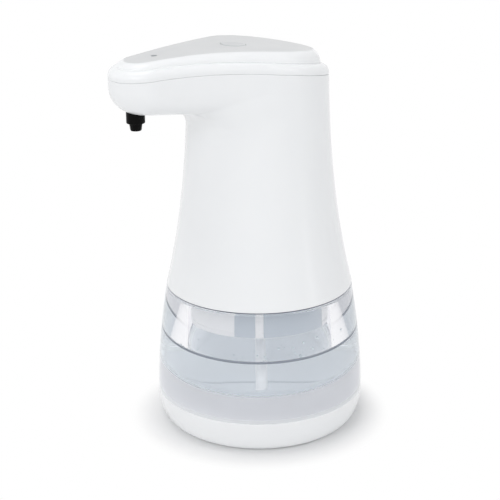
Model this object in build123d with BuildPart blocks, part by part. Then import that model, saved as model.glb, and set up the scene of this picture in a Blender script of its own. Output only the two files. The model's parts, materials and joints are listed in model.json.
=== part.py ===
from build123d import *

import math
import os

os.makedirs("parts", exist_ok=True)

# Touch-free soap dispenser: a clear heavy-walled reservoir on a white base,
# with a white head that drops into the neck, turns to lock and carries the
# battery box, the gear pump and the spout. Millimetres, +Z up, spout to -Y,
# origin on the table under the middle of the base.

# Base cup and its foot ring
base_radius = 50.9
base_edge = 7.3
base_height = 16.5
base_wall = 2.4
base_floor = 2.6
foot_gap = 0.6
foot_ring_inner = 34.0
foot_ring_width = 6.0
foot_ring_seat = 1.2
foot_ring_play = 0.1
socket_depth = 7.0
spigot_depth = 6.0
spigot_wall = 3.0
socket_play = 0.15

# Battery cells, which set the bore of the plug and of the neck
cell_radius = 5.25
cell_length = 44.5
cell_nub_radius = 1.9
cell_nub_length = 0.9
cell_gap = 0.1
cell_end_play = 0.5
contact_thickness = 0.5
contact_width = 8.0
contact_wall = 1.2

# Central riser through the battery box
riser_radius = 2.25
riser_play = 0.05
riser_bore = 1.1
sleeve_wall = 0.9
sleeve_gap = 0.2

# Plug that hangs into the reservoir
plug_wall = 1.8
plug_play = 1.3
plug_depth = 12.4
cover_thickness = 2.4
cover_seal_thickness = 0.8
battery_headroom = 1.4
cup_floor = 2.0
flange_thickness = 3.0
flange_play = 0.3

# Reservoir and its neck
reservoir_height = 53.7
reservoir_bulge = 1.05
reservoir_floor = 8.5
reservoir_draft = 0.9
cavity_corner = 5.0
neck_wall = 1.9
neck_height = 7.8
lug_count = 3
lug_angle = 24.0
lock_turn = 30.0
lug_height = 2.5
lug_depth = 1.7
lug_play = 0.6
lug_gap = 0.4
seal_thickness = 2.0
seal_inset = 0.2

# Head shell: a flared body with a spout
seam_gap = 0.2
head_height = 111.3
head_top_radius = 33.4
foot_flare = 2.4
flare_rise = 48.1
head_wall = 2.2
spout_reach = 65.1
spout_depth = 17.3
spout_tilt = 5.4
spout_root_inset = 0.6
spout_edge = 11.0
nose_radius = 15.06
root_fillet = 12.0
edge_break = 0.4

# Lid: a band on the arched seam, with a raised panel on top
crown_radius = 347.5
crown_reach = 50.6
band_height = 4.65
band_round = 3.6
lid_deck = 2.2
lip_depth = 4.0
lip_wall = 1.6
lip_play = 0.2
panel_inset = 4.0
panel_rise = 8.15
panel_reach = 38.4
panel_crown_radius = 359.0
panel_round = 2.2
panel_skin = 1.8

# Gear pump
gear_teeth = 10
gear_module = 0.9
gear_pressure = 25.0
gear_addendum = 0.72
gear_dedendum = 1.0
gear_backlash = 0.16
gear_width = 7.8
gear_end_play = 0.1
gear_tip_play = 0.1
pump_wall = 2.2
pump_side = 3.2
pump_floor = 2.5
pump_cover_thickness = 2.5
gasket_thickness = 0.5
shaft_radius = 1.0
shaft_play = 0.05
shaft_seat = 0.01
pin_depth = 1.5
port_width = 3.0
groove_width = 1.6
pump_screw_inset = 2.4

# Motor and the cradle that carries it
motor_radius = 10.2
motor_length = 27.0
motor_boss_radius = 3.0
motor_boss_height = 1.5
motor_shaft_reach = 6.0
terminal_inset = 2.4
terminal_height = 3.0
terminal_width = 2.0
terminal_thickness = 0.8
cradle_floor = 2.0
cradle_wall = 1.6
cradle_height = 12.0
cradle_play = 0.1

# Soft tubes and their spigots
tube_radius = 2.5
tube_bore = 1.8
spigot_radius = 1.75
spigot_length = 5.0
link_length = 8.0
link_grip = 2.4
dip_spigot = 6.0
dip_clear = 2.5
dip_foot = 2.5
dip_bend = 6.0
dip_side_clear = 3.2
dip_direction = -36.0
outlet_bend = 24.0
tube_clear = 0.5
outlet_end_gap = 1.0

# Nozzle under the nose
nozzle_lead = 3.0
nozzle_collar_radius = 4.2
nozzle_collar_height = 3.8
nozzle_tip_radius = 3.0
nozzle_tip_end_radius = 2.5
nozzle_tip_height = 3.4
nozzle_stem_radius = 3.4
nozzle_hole_play = 0.2
nozzle_seat_radius = 6.0
nozzle_seat_height = 1.6
nozzle_bore = 1.2
nut_radius = 5.0
nut_thickness = 1.5
nut_play = 0.05

# Hand sensor in the underside of the spout
sensor_setback = 9.5
window_width = 8.0
window_depth = 6.0
window_flange = 0.8
window_play = 0.15
eye_radius = 1.5
eye_height = 1.2
eye_spacing = 4.4
sensor_board_width = 20.0
sensor_board_depth = 8.0
sensor_board_thickness = 1.0
sensor_post_radius = 1.3
sensor_post_spacing = 17.2

# Control board, power button and indicator
board_width = 34.0
board_length = 40.0
board_centre = -6.0
board_thickness = 1.6
board_clear = 1.2
board_post_radius = 2.5
board_hole_inset = 4.0
board_screw_bite = 2.4
button_reach = 14.0
button_radius = 5.8
button_play = 0.3
button_rim = 1.2
button_rim_thickness = 1.0
button_proud = 0.25
button_travel = 0.8
button_rim_play = 0.1
button_pocket_play = 0.8
button_stop = 0.4
button_stem_radius = 1.6
switch_size = 6.0
switch_height = 3.5
plunger_radius = 1.7
plunger_height = 1.0
plunger_sink = 1.1
indicator_setback = 7.7
indicator_radius = 1.3
indicator_proud = 0.1
indicator_board_size = 6.0
indicator_board_thickness = 1.2

# Screws and wires
screw_radius = 1.25
screw_head_radius = 2.3
screw_head_height = 1.6
screw_play = 0.25
screw_seat = 0.02
screw_bite = 8.0
post_radius = 3.2
post_rise = 14.0
post_circle = 29.0
post_count = 4
post_turn = 45.0
rib_thickness = 2.0
small_screw_radius = 1.0
small_screw_head_radius = 1.9
small_screw_head_height = 1.4
cover_screw_offset = 8.0
wire_radius = 0.6
wire_spacing = 9.0

# Heights up the axis
reservoir_base = base_height
cavity_floor = reservoir_base + reservoir_floor
shoulder = reservoir_base + reservoir_height
neck_top = shoulder + neck_height
flange_bottom = neck_top + seal_thickness
flange_top = flange_bottom + flange_thickness
head_foot = shoulder + seam_gap
seam_peak = head_foot + head_height
spout_floor = seam_peak - spout_depth
form_top = seam_peak + 2.0 * panel_rise
cover_top = shoulder - plug_depth - cover_seal_thickness
cover_bottom = cover_top - cover_thickness
plug_bottom = cover_top + cover_seal_thickness
cell_height = plug_bottom + battery_headroom + cell_radius
cup_bottom = cell_height + cell_radius + battery_headroom + screw_head_height
cup_top = cup_bottom + cup_floor
pump_top = cup_top + pump_floor + gear_width + 2.0 * gear_end_play
pump_cover_base = pump_top + gasket_thickness
pump_cover_top = pump_cover_base + pump_cover_thickness
motor_base = pump_cover_top + cradle_floor
gear_base = cup_top + pump_floor + gear_end_play
port_height = gear_base + gear_width / 2.0

# Radii that follow from the cells outwards
sleeve_radius = riser_radius + riser_play + sleeve_wall
inner_cell = sleeve_radius + sleeve_gap + cell_radius
outer_cell = inner_cell + 2.0 * cell_radius + cell_gap
cell_end = cell_length / 2.0
cell_corner = math.hypot(outer_cell + cell_radius, cell_length / 2.0)
room_radius = cell_corner + cell_end_play
plug_radius = room_radius + plug_wall
neck_bore = plug_radius + plug_play
neck_radius = neck_bore + neck_wall
lug_radius = neck_radius + lug_depth
head_foot_radius = lug_radius + lug_play + head_wall + foot_flare
shoulder_radius = head_foot_radius - edge_break / 2.0
spout_back = spout_reach - head_top_radius / 2.0
spout_root = head_top_radius * math.sqrt(3.0) / 2.0 - spout_root_inset
spout_turn = math.acos(nose_radius / math.hypot(spout_root, spout_back)) - math.atan2(spout_back, spout_root)
indicator_reach = spout_reach - indicator_setback
base_foot_radius = base_radius - base_edge
socket_radius = base_radius - base_wall
spigot_outer = socket_radius - socket_play

# Bayonet lugs: the head's lugs sit under the neck's once the head is turned
lug_reach = 2.0 * lug_radius
lug_half_width = lug_reach * math.tan(math.radians(lug_angle / 2.0))
lug_wedge = [(0, 0), (lug_reach, -lug_half_width), (lug_reach, lug_half_width)]
head_lug_base = neck_top - 2.0 * lug_height - lug_gap

# Places on the pump and along the spout
gear_centre = gear_teeth * gear_module / 2.0
gear_tip = gear_centre + gear_addendum
pump_half_width = gear_centre + gear_tip + gear_tip_play + pump_wall
pump_half_depth = gear_tip + gear_tip_play + pump_side
pump_front = sleeve_radius + link_length
pump_centre = pump_front + pump_half_depth
outlet_y = pump_centre + gear_tip + gear_tip_play + groove_width
cradle_radius = motor_radius + cradle_play + cradle_wall
tube_orbit = cradle_radius + tube_radius + tube_clear
outlet_x = math.sqrt(tube_orbit ** 2 - (outlet_y - pump_centre) ** 2) - gear_centre
pump_right = max(pump_half_width, outlet_x + spigot_radius + pump_wall)
pump_back = outlet_y + spigot_radius + pump_wall / 2.0
pump_screw_left = -pump_half_width + pump_screw_inset
pump_screw_right = pump_right - pump_screw_inset
pump_screw_front = pump_front + pump_screw_inset
pump_screw_back = pump_back - pump_screw_inset
nozzle_y = -(spout_reach + nozzle_lead)
nozzle_seat = spout_floor + head_wall + nozzle_seat_height
outlet_run = nozzle_seat + nut_thickness + tube_radius + nut_play
outlet_heading = math.degrees(math.atan2(nozzle_y - outlet_y, -outlet_x))
outlet_reach = math.hypot(outlet_x, nozzle_y - outlet_y) - nozzle_stem_radius - outlet_end_gap
board_base = outlet_run + tube_radius + board_clear
board_top = board_base + board_thickness
board_hole_width = board_width - 2.0 * board_hole_inset
board_hole_length = board_length - 2.0 * board_hole_inset
post_top = flange_top + post_rise
sensor_board_base = head_wall + window_flange + eye_height

spout_plane = Plane(
    origin=(0, -spout_reach, spout_floor),
    x_dir=(1, 0, 0),
    z_dir=(0, math.sin(math.radians(spout_tilt)), math.cos(math.radians(spout_tilt))),
)


def head_radius(height):
    """Radius of the flared body at a height: the same curve that is revolved."""
    end = seam_peak
    middle = head_foot + flare_rise
    a = head_foot - 2.0 * middle + end
    b = 2.0 * (middle - head_foot)
    c = head_foot - height
    t = (-b + math.sqrt(b * b - 4.0 * a * c)) / (2.0 * a)
    return head_top_radius + (head_foot_radius - head_top_radius) * (1.0 - t) ** 2


def crown_height(y, rise):
    """Height of the arched seam, lifted square to itself, at a place along Y."""
    return seam_peak - crown_radius + math.sqrt((crown_radius + rise) ** 2 - (y + crown_reach) ** 2)


def panel_height(y):
    """Height of the panel's arched top at a place along Y."""
    centre = seam_peak + panel_rise - panel_crown_radius
    return centre + math.sqrt(panel_crown_radius ** 2 - (y + panel_reach) ** 2)


def head_form(inset, blend):
    """Flared body and spout as one solid, drawn in evenly by an inset."""
    top_radius = head_top_radius - inset
    foot_radius = head_foot_radius - inset
    with BuildPart() as body:
        with BuildSketch(Plane.XZ):
            with BuildLine():
                Polyline((top_radius, seam_peak), (top_radius, form_top), (0, form_top), (0, head_foot),
                         (foot_radius, head_foot))
                Bezier((foot_radius, head_foot), (top_radius, head_foot + flare_rise),
                       (top_radius, seam_peak))
            make_face()
        revolve(axis=Axis.Z)

    nose = nose_radius - inset
    nose_x = nose * math.cos(spout_turn)
    nose_y = -nose * math.sin(spout_turn)
    back_x = nose_x + (spout_back - nose_y) * math.tan(spout_turn)
    with BuildPart() as spout:
        with BuildSketch(spout_plane.offset(inset)):
            with BuildLine():
                Polyline((nose_x, nose_y), (back_x, spout_back), (-back_x, spout_back), (-nose_x, nose_y))
                ThreePointArc((-nose_x, nose_y), (0, -nose), (nose_x, nose_y))
            make_face()
        extrude(amount=spout_depth + 2.0 * panel_rise)
        rim = spout.faces().sort_by(Axis.Z)[0].edges().sort_by(Axis.Y)[:-1]
        fillet(rim, radius=spout_edge - inset)

    with BuildPart() as form:
        add(body.part)
        add(spout.part)
        if blend:
            root = form.edges().filter_by(GeomType.BSPLINE).sort_by(Axis.Y)[:5]
            fillet(root, radius=blend)
    return form.part


def gear_outline(phase):
    """Closed involute outline with straight roots, thinned by the backlash."""
    pressure = math.radians(gear_pressure)
    base = gear_centre * math.cos(pressure)
    root = gear_centre - gear_dedendum
    involute = math.tan(pressure) - pressure
    half = math.pi / (2 * gear_teeth) - gear_backlash / (2 * gear_centre) + involute
    steps = 4
    outline = []
    for tooth in range(gear_teeth):
        middle = phase + 2 * math.pi * tooth / gear_teeth
        flank = []
        for step in range(steps):
            radius = base + (gear_tip - base) * step / (steps - 1)
            roll = math.acos(base / radius)
            flank.append((radius, half - math.tan(roll) + roll))
        flank.insert(0, (root, half))
        for radius, spread in flank:
            outline.append((radius * math.cos(middle - spread), radius * math.sin(middle - spread)))
        for radius, spread in reversed(flank):
            outline.append((radius * math.cos(middle + spread), radius * math.sin(middle + spread)))
    return outline


def straight_wire(start, end):
    """Round wire between two points, as a solid."""
    run = Vector(*end) - Vector(*start)
    with BuildPart() as wire:
        with BuildSketch(Plane(origin=start, z_dir=run)):
            Circle(wire_radius)
        extrude(amount=run.length)
    return wire.part


# Places that follow from the curves of the head and the lid
rib_reach = head_radius(post_top) - head_wall / 2.0
flange_radius = head_radius(flange_top) - head_wall - flange_play
button_pocket_radius = button_radius + button_rim + button_pocket_play
button_pocket_top = panel_height(button_pocket_radius - button_reach) - panel_skin
button_rim_top = button_pocket_top - button_rim_play
button_rim_base = button_rim_top - button_rim_thickness
button_stop_height = button_rim_base - button_travel - button_stop
plunger_base = board_top + switch_height - plunger_sink
plunger_top = board_top + switch_height + plunger_height
indicator_board_base = seam_peak + band_height
indicator_board_top = indicator_board_base + indicator_board_thickness
motor_top = motor_base + motor_length
terminal_y = pump_centre - motor_radius + terminal_inset

# Places of repeated pieces
cover_screw_x = math.sqrt(post_circle ** 2 - cover_screw_offset ** 2)
contact_middle = cell_end + contact_thickness / 2.0
contact_base = cell_height - cell_radius / 2.0
cell_places = [(x, cell_height) for x in (-outer_cell, -inner_cell, inner_cell, outer_cell)]
pump_screw_places = [(pump_screw_left, pump_screw_front), (pump_screw_left, pump_screw_back),
                     (pump_screw_right, pump_screw_front)]
pump_middle = ((pump_right - pump_half_width) / 2.0, (pump_front + pump_back) / 2.0)
groove_reach = outlet_y + groove_width / 2.0 - pump_centre
port_middle = (0, pump_centre + groove_reach / 2.0)
groove_length = outlet_x + riser_bore + port_width / 2.0
groove_middle = ((outlet_x + riser_bore - port_width / 2.0) / 2.0, outlet_y)
riser_spigot_end = sleeve_radius + link_grip
nozzle_collar_base = spout_floor - nozzle_collar_height
nozzle_tip_base = nozzle_collar_base - nozzle_tip_height
sensor_lead_x = -sensor_board_width / 2.0 + board_hole_inset
sensor_lead_end = board_centre - board_length / 2.0 + board_hole_inset
outlet_ahead = Vector(1, 0, 0).rotate(Axis.Z, outlet_heading)
outlet_side = Vector(0, -1, 0).rotate(Axis.Z, outlet_heading)
outlet_plane = Plane(origin=(outlet_x, outlet_y, 0), x_dir=outlet_ahead, z_dir=outlet_side)
dip_reach = neck_bore - tube_radius - dip_side_clear
dip_upper_turn = cover_bottom - dip_spigot - dip_bend
dip_lower_turn = cavity_floor + dip_clear + dip_foot + dip_bend
dip_ahead = Vector(1, 0, 0).rotate(Axis.Z, dip_direction)
dip_side = Vector(0, -1, 0).rotate(Axis.Z, dip_direction)
dip_plane = Plane(origin=(0, 0, 0), x_dir=dip_ahead, z_dir=dip_side)

# Base cup: rounded lower edge, a socket for the reservoir and a foot groove
with BuildPart() as base_cup:
    with BuildSketch(Plane.XZ):
        with BuildLine():
            edge_height = base_height - foot_gap
            Line((base_radius - base_wall, base_height), (base_radius, base_height))
            EllipticalCenterArc((base_foot_radius, base_height), base_edge, edge_height,
                                start_angle=-90, arc_size=90)
            Polyline((base_foot_radius, foot_gap), (0, foot_gap), (0, foot_gap + base_floor),
                     (base_foot_radius, foot_gap + base_floor))
            EllipticalCenterArc((base_foot_radius, base_height), base_edge - base_wall,
                                edge_height - base_floor, start_angle=-90, arc_size=90)
        make_face()
    revolve(axis=Axis.Z)
    with BuildSketch(Plane.XY.offset(base_height)):
        Circle(socket_radius)
    extrude(amount=-socket_depth, mode=Mode.SUBTRACT)
    with BuildSketch(Plane.XY.offset(foot_gap)):
        Circle(foot_ring_inner + foot_ring_width)
        Circle(foot_ring_inner, mode=Mode.SUBTRACT)
    extrude(amount=foot_ring_seat, mode=Mode.SUBTRACT)
base_cup.part.label = "base_cup"
export_step(base_cup.part, "parts/base_cup.step")

# Foot ring: soft ring in the groove, which the dispenser stands on
with BuildPart() as foot_ring:
    with BuildSketch():
        Circle(foot_ring_inner + foot_ring_width - foot_ring_play)
        Circle(foot_ring_inner + foot_ring_play, mode=Mode.SUBTRACT)
    extrude(amount=foot_gap + foot_ring_seat)
foot_ring.part.label = "foot_ring"
export_step(foot_ring.part, "parts/foot_ring.step")

# Reservoir: thick clear jar with a straight bore, a neck and bayonet lugs
with BuildPart() as reservoir:
    with BuildSketch(Plane.XZ):
        with BuildLine():
            Polyline((shoulder_radius, shoulder), (0, shoulder), (0, reservoir_base),
                     (base_radius, reservoir_base))
            SagittaArc((base_radius, reservoir_base), (shoulder_radius, shoulder), -reservoir_bulge)
        make_face()
    revolve(axis=Axis.Z)
    fillet(reservoir.edges().filter_by(GeomType.CIRCLE), radius=edge_break)
    with BuildSketch(Plane.XY.offset(shoulder)):
        Circle(neck_radius)
    extrude(amount=neck_height)
    with BuildSketch(Plane.XY.offset(neck_top - lug_height)):
        with PolarLocations(0, lug_count, start_angle=-lock_turn):
            Polygon(*lug_wedge, align=None)
        Circle(lug_radius, mode=Mode.INTERSECT)
    extrude(amount=lug_height)
    with BuildSketch(Plane.XY.offset(reservoir_base)):
        Circle(spigot_outer)
        Circle(spigot_outer - spigot_wall, mode=Mode.SUBTRACT)
    extrude(amount=-spigot_depth)
    with BuildSketch(Plane.XZ):
        with BuildLine():
            FilletPolyline((0, cavity_floor), (neck_bore + reservoir_draft, cavity_floor),
                           (neck_bore, neck_top), radius=cavity_corner)
            Polyline((neck_bore, neck_top), (0, neck_top), (0, cavity_floor))
        make_face()
    revolve(axis=Axis.Z, mode=Mode.SUBTRACT)
reservoir.part.label = "reservoir"
export_step(reservoir.part, "parts/reservoir.step")

# Neck seal: soft ring on the rim of the neck, under the head's flange
with BuildPart() as neck_seal:
    with BuildSketch(Plane.XY.offset(neck_top)):
        Circle(neck_radius - seal_inset)
        Circle(neck_bore + seal_inset, mode=Mode.SUBTRACT)
    extrude(amount=seal_thickness)
neck_seal.part.label = "neck_seal"
export_step(neck_seal.part, "parts/neck_seal.step")

# Forms shared by the shell and the lid: outside, inside and the lid's lip
outer_form = head_form(0.0, root_fillet)
inner_form = head_form(head_wall, 0.0)
lip_form = head_form(head_wall + lip_play, 0.0)
lip_core = head_form(head_wall + lip_play + lip_wall, 0.0)
panel_form = head_form(panel_inset, root_fillet)
crown_centre = (0, -crown_reach, seam_peak - crown_radius)
crown_width = 4.0 * base_radius
deck_under_radius = crown_radius + band_height - lid_deck

# Flat seat for the nozzle's nut, inside the rounded nose
with BuildPart() as nozzle_boss:
    add(outer_form)
    with Locations((0, nozzle_y, nozzle_seat - spout_depth / 2)):
        Cylinder(nozzle_seat_radius, spout_depth, mode=Mode.INTERSECT)

# Head shell: open below and above, with lock lugs, posts and the nozzle seat
with BuildPart() as head_shell:
    add(outer_form)
    fillet(head_shell.edges().filter_by(GeomType.CIRCLE).sort_by(Axis.Z)[0], radius=edge_break)
    with Locations(crown_centre):
        Cylinder(crown_radius, crown_width, rotation=(0, 90, 0), mode=Mode.INTERSECT)
    add(inner_form, mode=Mode.SUBTRACT)
    with BuildSketch(Plane.XY.offset(head_lug_base)):
        with PolarLocations(0, lug_count, start_angle=0):
            Polygon(*lug_wedge, align=None)
        Circle(head_radius(head_lug_base + lug_height) - head_wall / 2, mode=Mode.INTERSECT)
        Circle(neck_radius + lug_gap, mode=Mode.SUBTRACT)
    extrude(amount=lug_height)
    with BuildSketch(Plane.XY.offset(cup_top)):
        with PolarLocations(post_circle, post_count, start_angle=post_turn):
            Circle(post_radius)
    extrude(amount=post_top - cup_top)
    with BuildSketch(Plane.XY.offset(flange_top + flange_play)):
        with PolarLocations((post_circle + rib_reach) / 2, post_count, start_angle=post_turn):
            Rectangle(rib_reach - post_circle, rib_thickness)
    extrude(amount=post_top - flange_top - flange_play)
    with BuildSketch(Plane.XY.offset(cup_top)):
        with PolarLocations(post_circle, post_count, start_angle=post_turn):
            Circle(screw_radius + screw_seat)
    extrude(amount=screw_bite + screw_seat, mode=Mode.SUBTRACT)
    add(nozzle_boss.part)
    with BuildSketch(Plane.XY.offset(nozzle_seat)):
        with Locations((0, nozzle_y)):
            Circle(nozzle_stem_radius + nozzle_hole_play)
    extrude(amount=-spout_depth, mode=Mode.SUBTRACT)
    with BuildSketch(spout_plane.offset(head_wall / 2)):
        with Locations((0, sensor_setback)):
            with GridLocations(sensor_post_spacing, 0, 2, 1):
                Circle(sensor_post_radius)
    extrude(amount=sensor_board_base - head_wall / 2)
    with BuildSketch(spout_plane):
        with Locations((0, sensor_setback)):
            Rectangle(window_width + 2 * window_play, window_depth + 2 * window_play)
    extrude(amount=head_wall, mode=Mode.SUBTRACT)
head_shell.part.label = "head_shell"
export_step(head_shell.part, "parts/head_shell.step")

# Hollow under the lid's deck, inside the line of the shell's wall
with BuildPart() as deck_hollow:
    add(inner_form)
    with Locations(crown_centre):
        Cylinder(deck_under_radius, crown_width, rotation=(0, 90, 0), mode=Mode.INTERSECT)

# Lip that locates the lid inside the shell
with BuildPart() as lip_ring:
    add(lip_form)
    add(lip_core, mode=Mode.SUBTRACT)
    with Locations(crown_centre):
        Cylinder(deck_under_radius + lid_deck / 2, crown_width, rotation=(0, 90, 0), mode=Mode.INTERSECT)
        Cylinder(crown_radius - lip_depth, crown_width, rotation=(0, 90, 0), mode=Mode.SUBTRACT)

# Lid: band on the seam, a deck, a lip inside the shell and board posts
with BuildPart() as top_cover:
    add(outer_form)
    with Locations(crown_centre):
        Cylinder(crown_radius + band_height, crown_width, rotation=(0, 90, 0), mode=Mode.INTERSECT)
        Cylinder(crown_radius, crown_width, rotation=(0, 90, 0), mode=Mode.SUBTRACT)
    fillet(top_cover.faces().sort_by(Axis.Z)[-1].edges(), radius=band_round)
    add(deck_hollow.part, mode=Mode.SUBTRACT)
    add(lip_ring.part)
    with BuildSketch(Plane.XY.offset(board_top)):
        with Locations((0, board_centre)):
            with GridLocations(board_hole_width, board_hole_length, 2, 2):
                Circle(board_post_radius)
    extrude(until=Until.NEXT)
    with BuildSketch(Plane.XY.offset(board_top)):
        with Locations((0, board_centre)):
            with GridLocations(board_hole_width, board_hole_length, 2, 2):
                Circle(small_screw_radius + screw_seat)
    extrude(amount=board_screw_bite + screw_seat, mode=Mode.SUBTRACT)
    with BuildSketch(Plane.XY.offset(button_stop_height)):
        with Locations((0, -button_reach)):
            Circle(button_pocket_radius)
    extrude(amount=panel_rise, mode=Mode.SUBTRACT)
    with BuildSketch(Plane.XY.offset(board_top + switch_height)):
        with Locations((0, -button_reach)):
            Circle(button_stem_radius + button_play)
    extrude(amount=panel_rise, mode=Mode.SUBTRACT)
top_cover.part.label = "top_cover"
export_step(top_cover.part, "parts/top_cover.step")

# Panel: raised top of the lid, with the button hole and the indicator hole
with BuildPart() as top_panel:
    add(panel_form)
    with Locations((0, -panel_reach, seam_peak + panel_rise - panel_crown_radius)):
        Cylinder(panel_crown_radius, crown_width, rotation=(0, 90, 0), mode=Mode.INTERSECT)
    with Locations(crown_centre):
        Cylinder(crown_radius + band_height, crown_width, rotation=(0, 90, 0), mode=Mode.SUBTRACT)
    fillet(top_panel.faces().sort_by(Axis.Z)[-1].edges(), radius=panel_round)
    with BuildSketch(Plane.XY.offset(button_pocket_top)):
        with Locations((0, -button_reach)):
            Circle(button_pocket_radius)
    extrude(amount=-panel_rise, mode=Mode.SUBTRACT)
    with BuildSketch(Plane.XY.offset(seam_peak)):
        with Locations((0, -button_reach)):
            Circle(button_radius + button_play)
        with Locations((0, -indicator_reach)):
            Circle(indicator_radius + window_play)
    extrude(amount=2 * panel_rise, mode=Mode.SUBTRACT)
    with BuildSketch(Plane.XY.offset(indicator_board_top + window_play)):
        with Locations((0, -indicator_reach)):
            Rectangle(indicator_board_size + 2 * window_play, indicator_board_size + 2 * window_play)
    extrude(amount=-panel_rise, mode=Mode.SUBTRACT)
top_panel.part.label = "top_panel"
export_step(top_panel.part, "parts/top_panel.step")

# Power button: cap, retaining rim and stem, cut to the panel's arch
with BuildPart() as power_button:
    with BuildSketch(Plane.XY.offset(button_rim_base)):
        with Locations((0, -button_reach)):
            Circle(button_radius)
    extrude(amount=panel_rise)
    with Locations((0, -panel_reach, seam_peak + panel_rise - panel_crown_radius)):
        Cylinder(panel_crown_radius + button_proud, crown_width, rotation=(0, 90, 0), mode=Mode.INTERSECT)
    fillet(power_button.faces().sort_by(Axis.Z)[-1].edges(), radius=edge_break)
    with BuildSketch(Plane.XY.offset(button_rim_base)):
        with Locations((0, -button_reach)):
            Circle(button_radius + button_rim)
    extrude(amount=button_rim_thickness)
    with BuildSketch(Plane.XY.offset(plunger_top)):
        with Locations((0, -button_reach)):
            Circle(button_stem_radius)
    extrude(amount=button_rim_base - plunger_top)
power_button.part.label = "power_button"
export_step(power_button.part, "parts/power_button.step")

# Switch plunger: moves with the button
with BuildPart() as switch_plunger:
    with BuildSketch(Plane.XY.offset(plunger_base)):
        with Locations((0, -button_reach)):
            Circle(plunger_radius)
    extrude(amount=plunger_top - plunger_base)
switch_plunger.part.label = "switch_plunger"
export_step(switch_plunger.part, "parts/switch_plunger.step")

# Button switch: square body on the control board, with a well for the plunger
with BuildPart() as button_switch:
    with BuildSketch(Plane.XY.offset(board_top)):
        with Locations((0, -button_reach)):
            Rectangle(switch_size, switch_size)
    extrude(amount=switch_height)
    with BuildSketch(Plane.XY.offset(board_top + switch_height)):
        with Locations((0, -button_reach)):
            Circle(plunger_radius + button_play)
    extrude(amount=-plunger_sink - button_travel - button_stop, mode=Mode.SUBTRACT)
button_switch.part.label = "button_switch"
export_step(button_switch.part, "parts/button_switch.step")

# Control board under the lid, screwed to its posts
with BuildPart() as control_board:
    with BuildSketch(Plane.XY.offset(board_base)):
        with Locations((0, board_centre)):
            RectangleRounded(board_width, board_length, board_post_radius)
            with GridLocations(board_hole_width, board_hole_length, 2, 2):
                Circle(small_screw_radius + screw_play, mode=Mode.SUBTRACT)
    extrude(amount=board_thickness)
control_board.part.label = "control_board"
export_step(control_board.part, "parts/control_board.step")

# Board screws, driven up into the lid's posts
with BuildPart() as board_screws:
    with BuildSketch(Plane.XY.offset(board_base)):
        with Locations((0, board_centre)):
            with GridLocations(board_hole_width, board_hole_length, 2, 2):
                Circle(small_screw_radius)
    extrude(amount=board_thickness + board_screw_bite)
    with BuildSketch(Plane.XY.offset(board_base)):
        with Locations((0, board_centre)):
            with GridLocations(board_hole_width, board_hole_length, 2, 2):
                Circle(small_screw_head_radius)
    extrude(amount=-small_screw_head_height)
board_screws.part.label = "board_screws"
export_step(board_screws.part, "parts/board_screws.step")

# Indicator: small lamp board on the deck and the lens above it
with BuildPart() as indicator_board:
    with BuildSketch(Plane.XY.offset(indicator_board_base)):
        with Locations((0, -indicator_reach)):
            Rectangle(indicator_board_size, indicator_board_size)
    extrude(amount=indicator_board_thickness)
indicator_board.part.label = "indicator_board"
export_step(indicator_board.part, "parts/indicator_board.step")

with BuildPart() as indicator_lens:
    with BuildSketch(Plane.XY.offset(indicator_board_top)):
        with Locations((0, -indicator_reach)):
            Circle(indicator_radius)
    extrude(amount=panel_height(-indicator_reach) + indicator_proud - indicator_board_top)
indicator_lens.part.label = "indicator_lens"
export_step(indicator_lens.part, "parts/indicator_lens.step")

# Chassis: flange on the seal and pump cup, with the riser's sleeve, the cover's
# posts and the contact walls hanging from the cup's floor
with BuildPart() as inner_chassis:
    with BuildSketch(Plane.XY.offset(flange_bottom)):
        Circle(flange_radius)
    extrude(amount=flange_thickness)
    with BuildSketch(Plane.XY.offset(cup_bottom)):
        Circle(plug_radius)
    extrude(amount=flange_bottom - cup_bottom)
    with BuildSketch(Plane.XY.offset(cup_top)):
        Circle(room_radius)
    extrude(amount=flange_top - cup_top, mode=Mode.SUBTRACT)
    with BuildSketch(Plane.XY.offset(plug_bottom)):
        Circle(sleeve_radius)
        with Locations((cover_screw_x, cover_screw_offset), (-cover_screw_x, -cover_screw_offset)):
            Circle(post_radius - edge_break)
        with GridLocations(0, 2 * (cell_end + contact_thickness) + contact_wall, 1, 2):
            Rectangle(2 * inner_cell + contact_width, contact_wall)
    extrude(amount=cup_bottom - plug_bottom)
    with BuildSketch(Plane.XY.offset(plug_bottom)):
        Circle(riser_radius + riser_play)
    extrude(amount=flange_top - plug_bottom, mode=Mode.SUBTRACT)
    with BuildSketch(Plane.XY.offset(plug_bottom)):
        with Locations((cover_screw_x, cover_screw_offset), (-cover_screw_x, -cover_screw_offset)):
            Circle(screw_radius + screw_seat)
    extrude(amount=screw_bite + screw_seat, mode=Mode.SUBTRACT)
    with BuildSketch(Plane.XY.offset(cup_bottom)):
        with PolarLocations(post_circle, post_count, start_angle=post_turn):
            Circle(screw_radius + screw_play)
        with Locations(*pump_screw_places):
            Circle(small_screw_radius + screw_play)
        with Locations((inner_cell, -contact_middle), (-inner_cell, -contact_middle)):
            Circle(wire_radius + window_play)
    extrude(amount=cup_floor, mode=Mode.SUBTRACT)
inner_chassis.part.label = "inner_chassis"
export_step(inner_chassis.part, "parts/inner_chassis.step")

# Battery room: a ring welded under the chassis, closed below by the cover
with BuildPart() as battery_room:
    with BuildSketch(Plane.XY.offset(plug_bottom)):
        Circle(plug_radius)
        Circle(room_radius, mode=Mode.SUBTRACT)
    extrude(amount=cup_bottom - plug_bottom)
battery_room.part.label = "battery_room"
export_step(battery_room.part, "parts/battery_room.step")

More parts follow.
